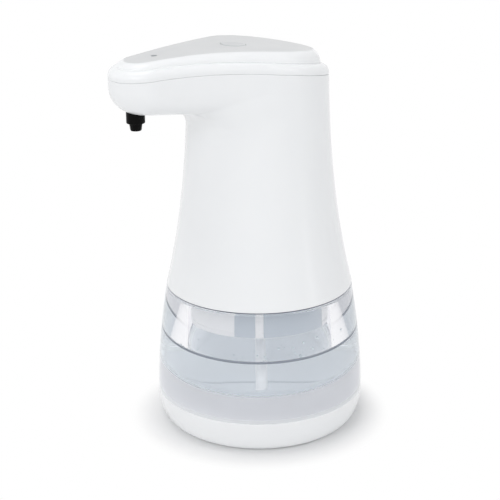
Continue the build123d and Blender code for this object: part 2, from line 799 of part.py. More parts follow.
# Chassis screws, driven up from the battery room into the shell's posts
with BuildPart() as chassis_screws:
    with BuildSketch(Plane.XY.offset(cup_bottom)):
        with PolarLocations(post_circle, post_count, start_angle=post_turn):
            Circle(screw_radius)
    extrude(amount=cup_floor + screw_bite)
    with BuildSketch(Plane.XY.offset(cup_bottom)):
        with PolarLocations(post_circle, post_count, start_angle=post_turn):
            Circle(screw_head_radius)
    extrude(amount=-screw_head_height)
chassis_screws.part.label = "chassis_screws"
export_step(chassis_screws.part, "parts/chassis_screws.step")

# Battery cover with its seal and its two screws
with BuildPart() as battery_cover_seal:
    with BuildSketch(Plane.XY.offset(cover_top)):
        Circle(plug_radius - seal_inset)
        Circle(room_radius + seal_inset, mode=Mode.SUBTRACT)
    extrude(amount=cover_seal_thickness)
battery_cover_seal.part.label = "battery_cover_seal"
export_step(battery_cover_seal.part, "parts/battery_cover_seal.step")

with BuildPart() as battery_cover:
    with BuildSketch(Plane.XY.offset(cover_bottom)):
        Circle(plug_radius)
    extrude(amount=cover_thickness)
    fillet(battery_cover.edges().sort_by(Axis.Z)[0], radius=edge_break)
    with BuildSketch(Plane.XY.offset(cover_top)):
        Circle(room_radius - seal_inset)
        Circle(room_radius - seal_inset - contact_wall, mode=Mode.SUBTRACT)
    extrude(amount=cover_seal_thickness)
    with BuildSketch(Plane.XY.offset(cover_bottom)):
        Circle(riser_radius + riser_play)
        with Locations((cover_screw_x, cover_screw_offset), (-cover_screw_x, -cover_screw_offset)):
            Circle(screw_radius + screw_play)
    extrude(amount=cover_thickness + cover_seal_thickness, mode=Mode.SUBTRACT)
battery_cover.part.label = "battery_cover"
export_step(battery_cover.part, "parts/battery_cover.step")

with BuildPart() as cover_screws:
    with BuildSketch(Plane.XY.offset(cover_bottom)):
        with Locations((cover_screw_x, cover_screw_offset), (-cover_screw_x, -cover_screw_offset)):
            Circle(screw_radius)
    extrude(amount=cover_thickness + cover_seal_thickness + screw_bite)
    with BuildSketch(Plane.XY.offset(cover_bottom)):
        with Locations((cover_screw_x, cover_screw_offset), (-cover_screw_x, -cover_screw_offset)):
            Circle(screw_head_radius)
    extrude(amount=-screw_head_height)
cover_screws.part.label = "cover_screws"
export_step(cover_screws.part, "parts/cover_screws.step")

# Four battery cells in a row, two each side of the riser, and their contacts
with BuildPart() as battery_cells:
    with BuildSketch(Plane.XZ.offset(-cell_end)):
        with Locations(*cell_places):
            Circle(cell_radius)
    extrude(amount=cell_length - cell_nub_length)
    with BuildSketch(Plane.XZ.offset(cell_end - cell_nub_length)):
        with Locations(*cell_places):
            Circle(cell_nub_radius)
    extrude(amount=cell_nub_length)
battery_cells.part.label = "battery_cells"
export_step(battery_cells.part, "parts/battery_cells.step")

with BuildPart() as battery_contacts:
    with BuildSketch(Plane.XY.offset(contact_base)):
        with Locations((0, 0)):
            with GridLocations(2 * inner_cell, 2 * contact_middle, 2, 2):
                Rectangle(contact_width, contact_thickness)
    extrude(amount=cup_bottom - contact_base)
battery_contacts.part.label = "battery_contacts"
export_step(battery_contacts.part, "parts/battery_contacts.step")

# Riser: carries soap up through the battery box and turns it to the pump
with BuildPart() as riser:
    with BuildSketch(Plane.XY.offset(cover_bottom)):
        Circle(riser_radius)
    extrude(amount=port_height - cover_bottom)
    with BuildSketch(Plane.XY.offset(cup_top)):
        Circle(sleeve_radius)
    extrude(amount=port_height + tube_radius - cup_top)
    with BuildSketch(Plane.XY.offset(cover_bottom)):
        Circle(spigot_radius)
    extrude(amount=-dip_spigot)
    with BuildSketch(Plane.XZ):
        with Locations((0, port_height)):
            Circle(spigot_radius)
    extrude(amount=-riser_spigot_end)
    with BuildSketch(Plane.XY.offset(cover_bottom - dip_spigot)):
        Circle(riser_bore)
    extrude(amount=port_height - cover_bottom + dip_spigot, mode=Mode.SUBTRACT)
    with BuildSketch(Plane.XZ):
        with Locations((0, port_height)):
            Circle(riser_bore)
    extrude(amount=-riser_spigot_end, mode=Mode.SUBTRACT)
riser.part.label = "riser"
export_step(riser.part, "parts/riser.step")

# Dip tube: stiff straw pushed on the riser, bent out to draw soap from the edge of the floor
with BuildPart() as dip_tube:
    with BuildLine(dip_plane) as dip_path:
        FilletPolyline((0, cover_bottom), (0, dip_upper_turn), (dip_reach, dip_lower_turn),
                       (dip_reach, cavity_floor + dip_clear), radius=dip_bend)
    with BuildSketch(Plane.XY.offset(cover_bottom)):
        Circle(tube_radius)
        Circle(tube_bore, mode=Mode.SUBTRACT)
    sweep(path=dip_path.wires()[0])
dip_tube.part.label = "dip_tube"
export_step(dip_tube.part, "parts/dip_tube.step")

# Pump housing: two gear bores, an inlet spigot and an outlet groove
with BuildPart() as pump_housing:
    with BuildSketch(Plane.XY.offset(cup_top)):
        with Locations(pump_middle):
            Rectangle(pump_right + pump_half_width, pump_back - pump_front)
    extrude(amount=pump_top - cup_top)
    with BuildSketch(Plane.XZ.offset(-pump_front)):
        with Locations((0, port_height)):
            Circle(spigot_radius)
    extrude(amount=spigot_length)
    with BuildSketch(Plane.XY.offset(cup_top + pump_floor)):
        with Locations((-gear_centre, pump_centre), (gear_centre, pump_centre)):
            Circle(gear_tip + gear_tip_play)
        with Locations(port_middle):
            Rectangle(port_width, groove_reach)
        with Locations(groove_middle):
            Rectangle(groove_length, groove_width)
    extrude(amount=pump_top - cup_top - pump_floor, mode=Mode.SUBTRACT)
    with BuildSketch(Plane.XZ.offset(spigot_length - pump_front)):
        with Locations((0, port_height)):
            Circle(riser_bore)
    extrude(amount=-spigot_length - pump_half_depth, mode=Mode.SUBTRACT)
    with BuildSketch(Plane.XY.offset(cup_top + pump_floor)):
        with Locations((-gear_centre, pump_centre)):
            Circle(shaft_radius + shaft_play)
        with Locations((gear_centre, pump_centre)):
            Circle(shaft_radius + shaft_seat)
    extrude(amount=-pin_depth, mode=Mode.SUBTRACT)
    with BuildSketch(Plane.XY.offset(cup_top)):
        with Locations(*pump_screw_places):
            Circle(small_screw_radius + screw_play)
    extrude(amount=pump_top - cup_top, mode=Mode.SUBTRACT)
pump_housing.part.label = "pump_housing"
export_step(pump_housing.part, "parts/pump_housing.step")

# Gears: a driven one on the motor shaft and an idler on a fixed pin
with BuildPart() as drive_gear:
    with BuildSketch(Plane.XY.offset(gear_base)):
        with Locations((-gear_centre, pump_centre)):
            Polygon(*gear_outline(0.0), align=None)
            Circle(shaft_radius + shaft_seat, mode=Mode.SUBTRACT)
    extrude(amount=gear_width)
drive_gear.part.label = "drive_gear"
export_step(drive_gear.part, "parts/drive_gear.step")

with BuildPart() as idler_gear:
    with BuildSketch(Plane.XY.offset(gear_base)):
        with Locations((gear_centre, pump_centre)):
            Polygon(*gear_outline(math.pi / gear_teeth), align=None)
            Circle(shaft_radius + shaft_play, mode=Mode.SUBTRACT)
    extrude(amount=gear_width)
idler_gear.part.label = "idler_gear"
export_step(idler_gear.part, "parts/idler_gear.step")

with BuildPart() as idler_pin:
    with BuildSketch(Plane.XY.offset(cup_top + pump_floor - pin_depth)):
        with Locations((gear_centre, pump_centre)):
            Circle(shaft_radius)
    extrude(amount=pump_cover_base - cup_top - pump_floor + pin_depth)
idler_pin.part.label = "idler_pin"
export_step(idler_pin.part, "parts/idler_pin.step")

with BuildPart() as motor_shaft:
    with BuildSketch(Plane.XY.offset(gear_base - pin_depth + shaft_play)):
        with Locations((-gear_centre, pump_centre)):
            Circle(shaft_radius)
    extrude(amount=motor_base + motor_shaft_reach - gear_base + pin_depth - shaft_play)
motor_shaft.part.label = "motor_shaft"
export_step(motor_shaft.part, "parts/motor_shaft.step")

# Pump gasket, cover with the outlet spigot, and the screws from below
with BuildPart() as pump_gasket:
    with BuildSketch(Plane.XY.offset(pump_top)):
        with Locations(pump_middle):
            Rectangle(pump_right + pump_half_width, pump_back - pump_front)
        with Locations((-gear_centre, pump_centre), (gear_centre, pump_centre)):
            Circle(gear_tip + gear_tip_play, mode=Mode.SUBTRACT)
        with Locations((outlet_x, outlet_y)):
            Circle(riser_bore, mode=Mode.SUBTRACT)
        with Locations(*pump_screw_places):
            Circle(small_screw_radius + screw_play, mode=Mode.SUBTRACT)
    extrude(amount=gasket_thickness)
pump_gasket.part.label = "pump_gasket"
export_step(pump_gasket.part, "parts/pump_gasket.step")

with BuildPart() as pump_cover:
    with BuildSketch(Plane.XY.offset(pump_cover_base)):
        with Locations(pump_middle):
            Rectangle(pump_right + pump_half_width, pump_back - pump_front)
    extrude(amount=pump_cover_thickness)
    with BuildSketch(Plane.XY.offset(pump_cover_top)):
        with Locations((outlet_x, outlet_y)):
            Circle(spigot_radius)
    extrude(amount=spigot_length)
    with BuildSketch(Plane.XY.offset(pump_cover_base)):
        with Locations((outlet_x, outlet_y)):
            Circle(riser_bore)
        with Locations((-gear_centre, pump_centre)):
            Circle(shaft_radius + shaft_play)
        with Locations(*pump_screw_places):
            Circle(small_screw_radius + screw_play)
    extrude(amount=pump_cover_thickness + spigot_length, mode=Mode.SUBTRACT)
pump_cover.part.label = "pump_cover"
export_step(pump_cover.part, "parts/pump_cover.step")

with BuildPart() as pump_screws:
    with BuildSketch(Plane.XY.offset(cup_bottom)):
        with Locations(*pump_screw_places):
            Circle(small_screw_radius)
    extrude(amount=motor_base - edge_break - cup_bottom)
    with BuildSketch(Plane.XY.offset(cup_bottom)):
        with Locations(*pump_screw_places):
            Circle(small_screw_head_radius)
    extrude(amount=-small_screw_head_height)
pump_screws.part.label = "pump_screws"
export_step(pump_screws.part, "parts/pump_screws.step")

# Motor cradle on the pump cover, and the motor standing in it
with BuildPart() as motor_cradle:
    with BuildSketch(Plane.XY.offset(pump_cover_top)):
        with Locations((-gear_centre, pump_centre)):
            Circle(cradle_radius)
        with Locations(*pump_screw_places):
            Circle(pump_screw_inset)
        with Locations(((pump_screw_right - gear_centre) / 2, (pump_screw_front + pump_centre) / 2)):
            Rectangle(pump_screw_right + gear_centre, 2 * pump_screw_inset)
    extrude(amount=cradle_floor)
    with BuildSketch(Plane.XY.offset(motor_base)):
        with Locations((-gear_centre, pump_centre)):
            Circle(cradle_radius)
            Circle(motor_radius + cradle_play, mode=Mode.SUBTRACT)
    extrude(amount=cradle_height)
    with BuildSketch(Plane.XY.offset(pump_cover_top)):
        with Locations((-gear_centre, pump_centre)):
            Circle(motor_boss_radius + cradle_play)
    extrude(amount=cradle_floor, mode=Mode.SUBTRACT)
    with BuildSketch(Plane.XY.offset(pump_cover_top)):
        with Locations(*pump_screw_places):
            Circle(small_screw_radius + screw_seat)
    extrude(amount=cradle_floor - edge_break + screw_seat, mode=Mode.SUBTRACT)
motor_cradle.part.label = "motor_cradle"
export_step(motor_cradle.part, "parts/motor_cradle.step")

with BuildPart() as motor:
    with BuildSketch(Plane.XY.offset(motor_base)):
        with Locations((-gear_centre, pump_centre)):
            Circle(motor_radius)
    extrude(amount=motor_length)
    fillet(motor.edges().filter_by(GeomType.CIRCLE), radius=edge_break)
    with BuildSketch(Plane.XY.offset(motor_base)):
        with Locations((-gear_centre, pump_centre)):
            Circle(motor_boss_radius)
    extrude(amount=-motor_boss_height)
    with BuildSketch(Plane.XY.offset(motor_top)):
        with Locations((-gear_centre, terminal_y)):
            with GridLocations(wire_spacing, 0, 2, 1):
                Rectangle(terminal_width, terminal_thickness)
    extrude(amount=terminal_height)
    with BuildSketch(Plane.XY.offset(motor_base - motor_boss_height)):
        with Locations((-gear_centre, pump_centre)):
            Circle(shaft_radius + shaft_play)
    extrude(amount=motor_boss_height + motor_shaft_reach + shaft_play, mode=Mode.SUBTRACT)
motor.part.label = "motor"
export_step(motor.part, "parts/motor.step")

# Soft tubes: a short link from the riser to the pump, and the outlet run
with BuildPart() as inlet_tube:
    with BuildSketch(Plane.XZ.offset(-sleeve_radius)):
        with Locations((0, port_height)):
            Circle(tube_radius)
            Circle(tube_bore, mode=Mode.SUBTRACT)
    extrude(amount=sleeve_radius - pump_front)
inlet_tube.part.label = "inlet_tube"
export_step(inlet_tube.part, "parts/inlet_tube.step")

with BuildPart() as outlet_tube:
    with BuildLine(outlet_plane) as outlet_path:
        FilletPolyline((0, pump_cover_top), (0, outlet_run), (outlet_reach, outlet_run), radius=outlet_bend)
    with BuildSketch(Plane.XY.offset(pump_cover_top)):
        with Locations((outlet_x, outlet_y)):
            Circle(tube_radius)
            Circle(tube_bore, mode=Mode.SUBTRACT)
    sweep(path=outlet_path.wires()[0])
outlet_tube.part.label = "outlet_tube"
export_step(outlet_tube.part, "parts/outlet_tube.step")

# Nozzle: tip, collar and stem with a spigot turned to the outlet tube
with BuildPart() as nozzle:
    with BuildSketch(Plane.XY.offset(nozzle_collar_base)):
        with Locations((0, nozzle_y)):
            Circle(nozzle_collar_radius)
    extrude(amount=nozzle_collar_height + head_wall)
    fillet(nozzle.edges().filter_by(GeomType.CIRCLE).sort_by(Axis.Z)[0], radius=edge_break)
    add(outer_form, mode=Mode.SUBTRACT)
    with BuildSketch(Plane.XY.offset(nozzle_tip_base)):
        with Locations((0, nozzle_y)):
            Circle(nozzle_tip_end_radius)
    with BuildSketch(Plane.XY.offset(nozzle_collar_base)):
        with Locations((0, nozzle_y)):
            Circle(nozzle_tip_radius)
    loft()
    with BuildSketch(Plane.XY.offset(nozzle_collar_base)):
        with Locations((0, nozzle_y)):
            Circle(nozzle_stem_radius)
    extrude(amount=outlet_run + tube_radius - nozzle_collar_base)
    with BuildSketch(Plane(origin=(0, nozzle_y, outlet_run), z_dir=-outlet_ahead)):
        Circle(spigot_radius)
    extrude(amount=nozzle_stem_radius + spigot_length)
    with BuildSketch(Plane.XY.offset(nozzle_tip_base)):
        with Locations((0, nozzle_y)):
            Circle(nozzle_bore)
    extrude(amount=outlet_run - nozzle_tip_base, mode=Mode.SUBTRACT)
    with BuildSketch(Plane(origin=(0, nozzle_y, outlet_run), z_dir=-outlet_ahead)):
        Circle(riser_bore)
    extrude(amount=nozzle_stem_radius + spigot_length, mode=Mode.SUBTRACT)
nozzle.part.label = "nozzle"
export_step(nozzle.part, "parts/nozzle.step")

with BuildPart() as nozzle_nut:
    with BuildSketch(Plane.XY.offset(nozzle_seat)):
        with Locations((0, nozzle_y)):
            RegularPolygon(nut_radius, 6)
            Circle(nozzle_stem_radius + nut_play, mode=Mode.SUBTRACT)
    extrude(amount=nut_thickness)
nozzle_nut.part.label = "nozzle_nut"
export_step(nozzle_nut.part, "parts/nozzle_nut.step")

# Hand sensor: dark window in the underside, two eyes and their board
with BuildPart() as sensor_window:
    with BuildSketch(spout_plane):
        with Locations((0, sensor_setback)):
            Rectangle(window_width, window_depth)
    extrude(amount=head_wall)
    with BuildSketch(spout_plane.offset(head_wall)):
        with Locations((0, sensor_setback)):
            Rectangle(window_width + 2 * window_flange, window_depth + 2 * window_flange)
    extrude(amount=window_flange)
sensor_window.part.label = "sensor_window"
export_step(sensor_window.part, "parts/sensor_window.step")

with BuildPart() as sensor_eyes:
    with BuildSketch(spout_plane.offset(head_wall + window_flange)):
        with Locations((0, sensor_setback)):
            with GridLocations(eye_spacing, 0, 2, 1):
                Circle(eye_radius)
    extrude(amount=eye_height)
sensor_eyes.part.label = "sensor_eyes"
export_step(sensor_eyes.part, "parts/sensor_eyes.step")

with BuildPart() as sensor_board:
    with BuildSketch(spout_plane.offset(sensor_board_base)):
        with Locations((0, sensor_setback)):
            Rectangle(sensor_board_width, sensor_board_depth)
    extrude(amount=sensor_board_thickness)
sensor_board.part.label = "sensor_board"
export_step(sensor_board.part, "parts/sensor_board.step")

# Wires: motor, battery and sensor pairs up to the control board
with BuildPart() as motor_leads:
    for side in (-1, 1):
        lead_x = -gear_centre + side * wire_spacing / 2
        start = (lead_x, terminal_y, motor_top + terminal_height)
        add(straight_wire(start, (lead_x, terminal_y, board_base)))
motor_leads.part.label = "motor_leads"
export_step(motor_leads.part, "parts/motor_leads.step")

with BuildPart() as battery_leads:
    for side in (-1, 1):
        lead_x = side * inner_cell
        start = (lead_x, -contact_middle, cup_bottom)
        add(straight_wire(start, (lead_x, -contact_middle, board_base)))
battery_leads.part.label = "battery_leads"
export_step(battery_leads.part, "parts/battery_leads.step")

with BuildPart() as sensor_leads:
    for side in (0, 1):
        local_x = sensor_lead_x + side * 2 * sensor_post_radius
        local_z = sensor_board_base + sensor_board_thickness + wire_radius
        start = spout_plane.from_local_coords((local_x, sensor_setback, local_z))
        add(straight_wire(start, (start.X, sensor_lead_end, board_base - wire_radius)))
sensor_leads.part.label = "sensor_leads"
export_step(sensor_leads.part, "parts/sensor_leads.step")
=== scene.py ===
import json

import bmesh
import bpy
import numpy as np
from mathutils import Matrix, Vector


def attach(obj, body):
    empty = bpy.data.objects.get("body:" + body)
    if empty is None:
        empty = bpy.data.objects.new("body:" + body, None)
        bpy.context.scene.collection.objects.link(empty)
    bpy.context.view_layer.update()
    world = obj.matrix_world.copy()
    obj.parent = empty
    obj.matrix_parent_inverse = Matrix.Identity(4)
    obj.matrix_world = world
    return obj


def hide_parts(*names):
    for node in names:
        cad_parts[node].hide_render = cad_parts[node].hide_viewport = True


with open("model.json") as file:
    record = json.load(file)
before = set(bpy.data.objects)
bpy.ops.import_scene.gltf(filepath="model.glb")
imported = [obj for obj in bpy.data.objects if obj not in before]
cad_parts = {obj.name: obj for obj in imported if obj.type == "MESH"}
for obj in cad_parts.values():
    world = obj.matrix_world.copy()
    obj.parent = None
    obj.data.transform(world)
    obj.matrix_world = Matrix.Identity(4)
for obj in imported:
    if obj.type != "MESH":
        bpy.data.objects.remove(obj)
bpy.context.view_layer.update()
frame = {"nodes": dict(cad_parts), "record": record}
scene = bpy.context.scene
scene.view_settings.view_transform = "Standard"


# Base cup: a white ABS moulding with a well rounded lower edge, polished in the mould. Its rim
# is drawn solid, and the spigot of the reservoir is pressed into it out of sight.
def skin(name, grid):
    """Quads between neighbouring points of one grid, or of several, in millimetres. Each row
    joins up with itself, and points that fall together, at poles and seams, become one."""
    patches = grid.reshape(-1, *grid.shape[-3:])
    here = np.arange(patches[..., 0].size).reshape(patches.shape[:-1])
    beside = np.roll(here, -1, axis=2)
    quads = np.stack([here[:, :-1], beside[:, :-1], beside[:, 1:], here[:, 1:]], -1).reshape(-1, 4)
    mesh = bpy.data.meshes.new(name)
    mesh.from_pydata((patches.reshape(-1, 3) / 1000).tolist(), [], quads.tolist())
    form = bmesh.new()
    form.from_mesh(mesh)
    bmesh.ops.remove_doubles(form, verts=form.verts, dist=1e-7)
    form.to_mesh(mesh)
    form.free()
    mesh.shade_smooth()
    piece = bpy.data.objects.new(name, mesh)
    scene.collection.objects.link(piece)
    return piece


def turned(profile, columns=224, axis=(0.0, 0.0)):
    """A profile of (r, z) points carried round an upright axis: (r cos a, r sin a, z), a grid
    of rows by columns."""
    a = np.linspace(0, 2 * np.pi, columns, endpoint=False)
    r, z = profile[:, :1], profile[:, 1:]
    return np.stack([axis[0] + r * np.cos(a), axis[1] + r * np.sin(a), z + 0 * a], -1)


def rounded(corners, step=1.2, arc_points=9):
    """A profile through corners (r, z, fillet): an arc that touches both sides cuts off each
    inner corner, and the straight runs between the arcs are divided into even steps. A point
    of an arc lies between its two end spokes, each weighted by the sine of the angle that is
    left to the other one."""
    c = np.array(corners, float)
    runs, end = [], c[0, :2]
    for before, here, after in zip(c[:-2], c[1:-1], c[2:]):
        a, b = before[:2] - here[:2], after[:2] - here[:2]
        a, b = a / np.linalg.norm(a), b / np.linalg.norm(b)
        half = np.arccos(np.clip(a @ b, -1, 1)) / 2
        sweep = np.pi - 2 * half
        middle = here[:2] + (a + b) / np.linalg.norm(a + b) * here[2] / np.sin(half)
        first = here[:2] + a * here[2] / np.tan(half)
        last = here[:2] + b * here[2] / np.tan(half)
        t = np.linspace(0, 1, arc_points)[:, None]
        spokes = (first - middle) * np.sin((1 - t) * sweep) + (last - middle) * np.sin(t * sweep)
        arc = middle + spokes / np.sin(sweep)
        steps = max(2, int(np.linalg.norm(first - end) / step) + 1)
        runs += [end + (first - end) * np.linspace(0, 1, steps)[:-1, None], arc]
        end = last
    steps = max(2, int(np.linalg.norm(c[-1, :2] - end) / step) + 1)
    return np.vstack(runs + [end + (c[-1, :2] - end) * np.linspace(0, 1, steps)[:, None]])


flat_radius, edge_width = 43.6, 7.3
rim_height, edge_height = 16.5, 15.9
bend = np.linspace(0.02, 1.545, 44)[:, None]
lower_edge = np.hstack([flat_radius + edge_width * np.sin(bend),
                        rim_height - edge_height * np.cos(bend)])
rim_and_floor = rounded([(50.895, 16.12, 0), (50.895, 16.52, 0.3), (45.2, 16.52, 0.1),
                         (45.2, 10.5, 0.8), (43.8, 3.2, 3.0), (0, 3.2, 0)])
underside = rounded([(0, 0.6, 0), (34.0, 0.6, 0.2), (34.0, 1.8, 0.2), (40.0, 1.8, 0.2),
                     (40.0, 0.6, 0.2), (flat_radius, 0.6, 0)])
base_cup = skin("base_cup_moulding", turned(np.vstack([underside, lower_edge, rim_and_floor]), 256))

COLOUR_A, COLOUR_B, COLOUR_OUT = 6, 7, 2  # the colour sockets of a Mix node


def linear(code):
    """Linear colour of an sRGB hex code: v / 12.92 for v up to 0.04045, and above it
    (v + 0.055) / 1.055 to the power 2.4."""
    v = np.array([int(code[i:i + 2], 16) for i in (0, 2, 4)]) / 255.0
    v = np.where(v <= 0.04045, v / 12.92, ((v + 0.055) / 1.055) ** 2.4)
    return (*v, 1.0)


def add_node(tree, kind, values=None, links=None, **settings):
    """Adds a node: settings are its own properties, values go to its inputs, and links bring
    (node, output) pairs to them."""
    made = tree.nodes.new(kind)
    for name, value in settings.items():
        setattr(made, name, value)
    for name, value in (values or {}).items():
        made.inputs[name].default_value = value
    for name, (source, output) in (links or {}).items():
        tree.links.new(source.outputs[output], made.inputs[name])
    return made


def moulded(name, pale, deep, gloss, grain_mm, grain_depth_mm, **constant):
    """Moulded plastic. The colour drifts between two shades where the melt flowed, over about
    30 mm, and the gloss drifts with it. The grain of the mould's wall stands in the surface; a
    real one is finer than this, which is as coarse as it needs to show. Constants go straight
    to the shader's sockets."""
    flow_mm, grain_strength = 30.0, 0.35
    made = bpy.data.materials.new(name)
    made.use_nodes = True
    tree = made.node_tree
    shader = tree.nodes["Principled BSDF"]
    place = add_node(tree, "ShaderNodeTexCoord")
    flow = add_node(tree, "ShaderNodeTexNoise", {"Scale": 1000 / flow_mm, "Detail": 3.0},
                    {"Vector": (place, "Object")})
    tint = add_node(tree, "ShaderNodeMix", {COLOUR_A: linear(pale), COLOUR_B: linear(deep)},
                    {"Factor": (flow, "Fac")}, data_type="RGBA")
    sheen = add_node(tree, "ShaderNodeMapRange",
                     {"From Min": 0.3, "From Max": 0.7, "To Min": gloss[0], "To Max": gloss[1]},
                     {"Value": (flow, "Fac")})
    grain = add_node(tree, "ShaderNodeTexNoise", {"Scale": 1000 / grain_mm, "Detail": 2.0},
                     {"Vector": (place, "Object")})
    relief = add_node(tree, "ShaderNodeBump",
                      {"Strength": grain_strength, "Distance": grain_depth_mm / 1000},
                      {"Height": (grain, "Fac")})
    tree.links.new(tint.outputs[COLOUR_OUT], shader.inputs["Base Color"])
    tree.links.new(sheen.outputs["Result"], shader.inputs["Roughness"])
    tree.links.new(relief.outputs["Normal"], shader.inputs["Normal"])
    for socket, value in constant.items():
        shader.inputs[socket.replace("_", " ")].default_value = value
    return made


# Polished ABS gives a clean cool white with a soft highlight that wanders a little.
white_abs = moulded("white_gloss_abs", "F9FAFA", "F5F6F7", (0.2, 0.27), 0.7, 0.004, IOR=1.53)
base_cup.data.materials.append(white_abs)
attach(base_cup, "tank")
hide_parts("base_cup")

# Foot ring: soft grey rubber pressed into a groove under the base, moulded with a matt face
# that grips the table.
foot_section = rounded([(37, 0, 0), (39.9, 0, 0.5), (39.9, 1.8, 0.2), (34.1, 1.8, 0.2),
                        (34.1, 0, 0.5), (37, 0, 0)])
foot_ring = skin("foot_ring_rubber", turned(foot_section, 160))
# Rubber gives a dark line under the base, with hardly any highlight.
grey_rubber = moulded("grey_foot_rubber", "55565A", "4B4C50", (0.72, 0.85), 0.5, 0.02, IOR=1.5)
foot_ring.data.materials.append(grey_rubber)
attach(foot_ring, "tank")
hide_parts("foot_ring")

# Reservoir: a heavy jar of clear styrene-acrylonitrile, injection moulded and polished. Its
# neck carries three bayonet lugs, and a spigot under it holds it in the base.
jar_foot_radius, jar_lean, jar_bulge, jar_height = 50.9, 5.6, 1.05, 53.7
rise = np.linspace(0.012, 0.994, 60)[:, None]
belly = np.hstack([jar_foot_radius - jar_lean * rise + jar_bulge * 4 * rise * (1 - rise),
                   rim_height + jar_height * rise])
jar_foot = rounded([(0, 16.5, 0), (45.35, 16.5, 0.5), (45.35, 10.5, 0.4), (48.35, 10.5, 0.4),
                    (48.35, 16.5, 0.3), (50.87, 16.5, 0.35), (50.88, 17.1, 0)])
jar_neck = rounded([(45.36, 69.8, 0), (45.3, 70.2, 0.2), (38.6, 70.2, 0.8), (38.6, 78, 0.5),
                    (36.7, 78, 0.5), (37.6, 25, 5.0), (0, 25, 0)], arc_points=21)
reservoir = skin("reservoir_jar", turned(np.vstack([jar_foot, belly, jar_neck]), 256))
# Clear SAN bends what lies behind it and is a little violet in its thickness.
clear_san = moulded("clear_san", "FDFDFF", "FBFBFE", (0.0, 0.012), 14.0, 0.006,
                    IOR=1.5, Transmission_Weight=1.0)
reservoir.data.materials.append(clear_san)
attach(reservoir, "tank")
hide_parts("reservoir")


def lugs(name, first_turn, inner, outer, low, high):
    """Three bayonet lugs on one ring: each spans 24 degrees, its section is carried along that
    arc, and the section shrinks to its middle to close both ends."""
    section = rounded([((inner + outer) / 2, low, 0), (outer, low, 0.3), (outer, high, 0.3),
                       (inner, high, 0.3), (inner, low, 0.3), ((inner + outer) / 2, low, 0)],
                      arc_points=5)[:0:-1]
    centre = section.mean(0)
    swell = np.r_[0, np.ones(13), 0][:, None, None]
    shape = centre + (section - centre) * swell
    turn = np.radians(np.r_[-12, np.linspace(-12, 12, 13), 12])[:, None]
    a = turn + np.radians(first_turn + 120 * np.arange(3))[:, None, None]
    r, z = shape[..., 0], shape[..., 1]
    return skin(name, np.stack([r * np.cos(a), r * np.sin(a), z + 0 * a], -1))


neck_lugs = lugs("neck_lugs", -30, 38.2, 40.3, 75.5, 78.0)
neck_lugs.data.materials.append(clear_san)
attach(neck_lugs, "tank")

# Backing sheet: a white disc drawn flat against the underside of the jar's clear floor, as
# painted light, so that the soap above it reads bright.
sheet_section = rounded([(0, 16.2, 0), (45.1, 16.2, 0.1), (45.1, 16.53, 0.1), (0, 16.53, 0)])
painted_light_disc = skin("painted_light_backing_disc", turned(sheet_section, 128))
# Painted light: a plain satin white with a breath of blue.
painted_light_white = moulded("painted_light_white_disc", "F7F8FB", "F3F5F9", (0.4, 0.5), 0.8, 0.006,
                      IOR=1.49)
painted_light_disc.data.materials.append(painted_light_white)
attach(painted_light_disc, "tank")

# Liquid soap: clear and thin, filled to about a third. Its skin lies a hair within the plastic
# of the jar, so that light passes straight from plastic to soap, and it climbs the wall in a
# small meniscus.
level, wall = 43.0, 37.4
climb_width, climb_height = 3.0, 1.1
creep = np.linspace(0, 1, 16)[:, None]
meniscus = np.hstack([wall - climb_width * creep, level + climb_height * (1 - creep) ** 3])
soap_body = rounded([(0, 24.85, 0), (37.75, 24.85, 5.0), (wall, level + 1.0, 0)], arc_points=31)
soap_top = np.hstack([np.linspace(34, 0, 28)[:, None], np.full((28, 1), level)])
soap = skin("liquid_soap", turned(np.vstack([soap_body, meniscus, soap_top]), 256))
# Thin soap is as clear as water and faintly blue-green.
clear_soap = moulded("clear_liquid_soap", "F0F6F7", "EDF4F5", (0.0, 0.004), 40.0, 0.004,
                     IOR=1.35, Transmission_Weight=1.0)
soap.data.materials.append(clear_soap)
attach(soap, "tank")

# Soap line: where the soap climbs the wall it turns the light away and reads as a dark ring.
# That shade is painted, as a thin dark band in the skin of the meniscus.
line_section = rounded([(37.45, 42.9, 0), (37.6, 42.9, 0.05), (37.6, 43.9, 0.05),
                        (37.35, 43.9, 0.05), (37.35, 42.9, 0.05), (37.45, 42.9, 0)], arc_points=3)
soap_line = skin("soap_line_ring", turned(line_section, 224))
# Painted shade: a blue-grey band stands in for the dark line at the edge of the soap.
soap_line_shade = moulded("painted_soap_line_shade", "8C939E", "848B97", (0.3, 0.4), 20.0, 0.004, IOR=1.35)
soap_line.data.materials.append(soap_line_shade)
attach(soap_line, "tank")

# Drops: beads of soap left on the bore above the level when the tank was carried, and a few
# bubbles along the meniscus.
seeds = np.random.default_rng(7)
count, drop_wall = 46, 37.05
drop_turn = np.radians(seeds.normal(-12, 46, count))
drop_high = level + 0.9 + 8.5 * seeds.random(count) ** 2.2
drop_size = 0.28 + 0.42 * seeds.random(count) ** 2
lift_a = np.linspace(-np.pi / 2, np.pi / 2, 7)[:, None]
round_a = np.linspace(0, 2 * np.pi, 12, endpoint=False)
bead = np.stack([np.cos(lift_a) * np.cos(round_a), np.cos(lift_a) * np.sin(round_a),
                 np.sin(lift_a) + 0 * round_a], -1)
drop_centre = np.stack([drop_wall * np.cos(drop_turn), drop_wall * np.sin(drop_turn), drop_high], -1)
drops = skin("soap_drops", drop_centre[:, None, None] + drop_size[:, None, None, None] * bead)
drops.data.materials.append(clear_soap)
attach(drops, "tank")

# Neck seal: a flat ring of translucent silicone, moulded in one piece. It lies on the rim of
# the neck, under the head's flange.
seal_section = rounded([(37.6, 78, 0), (38.4, 78, 0.25), (38.4, 80, 0.25), (36.9, 80, 0.25),
                        (36.9, 78, 0.25), (37.6, 78, 0)])
neck_seal = skin("neck_seal_ring", turned(seal_section, 160))
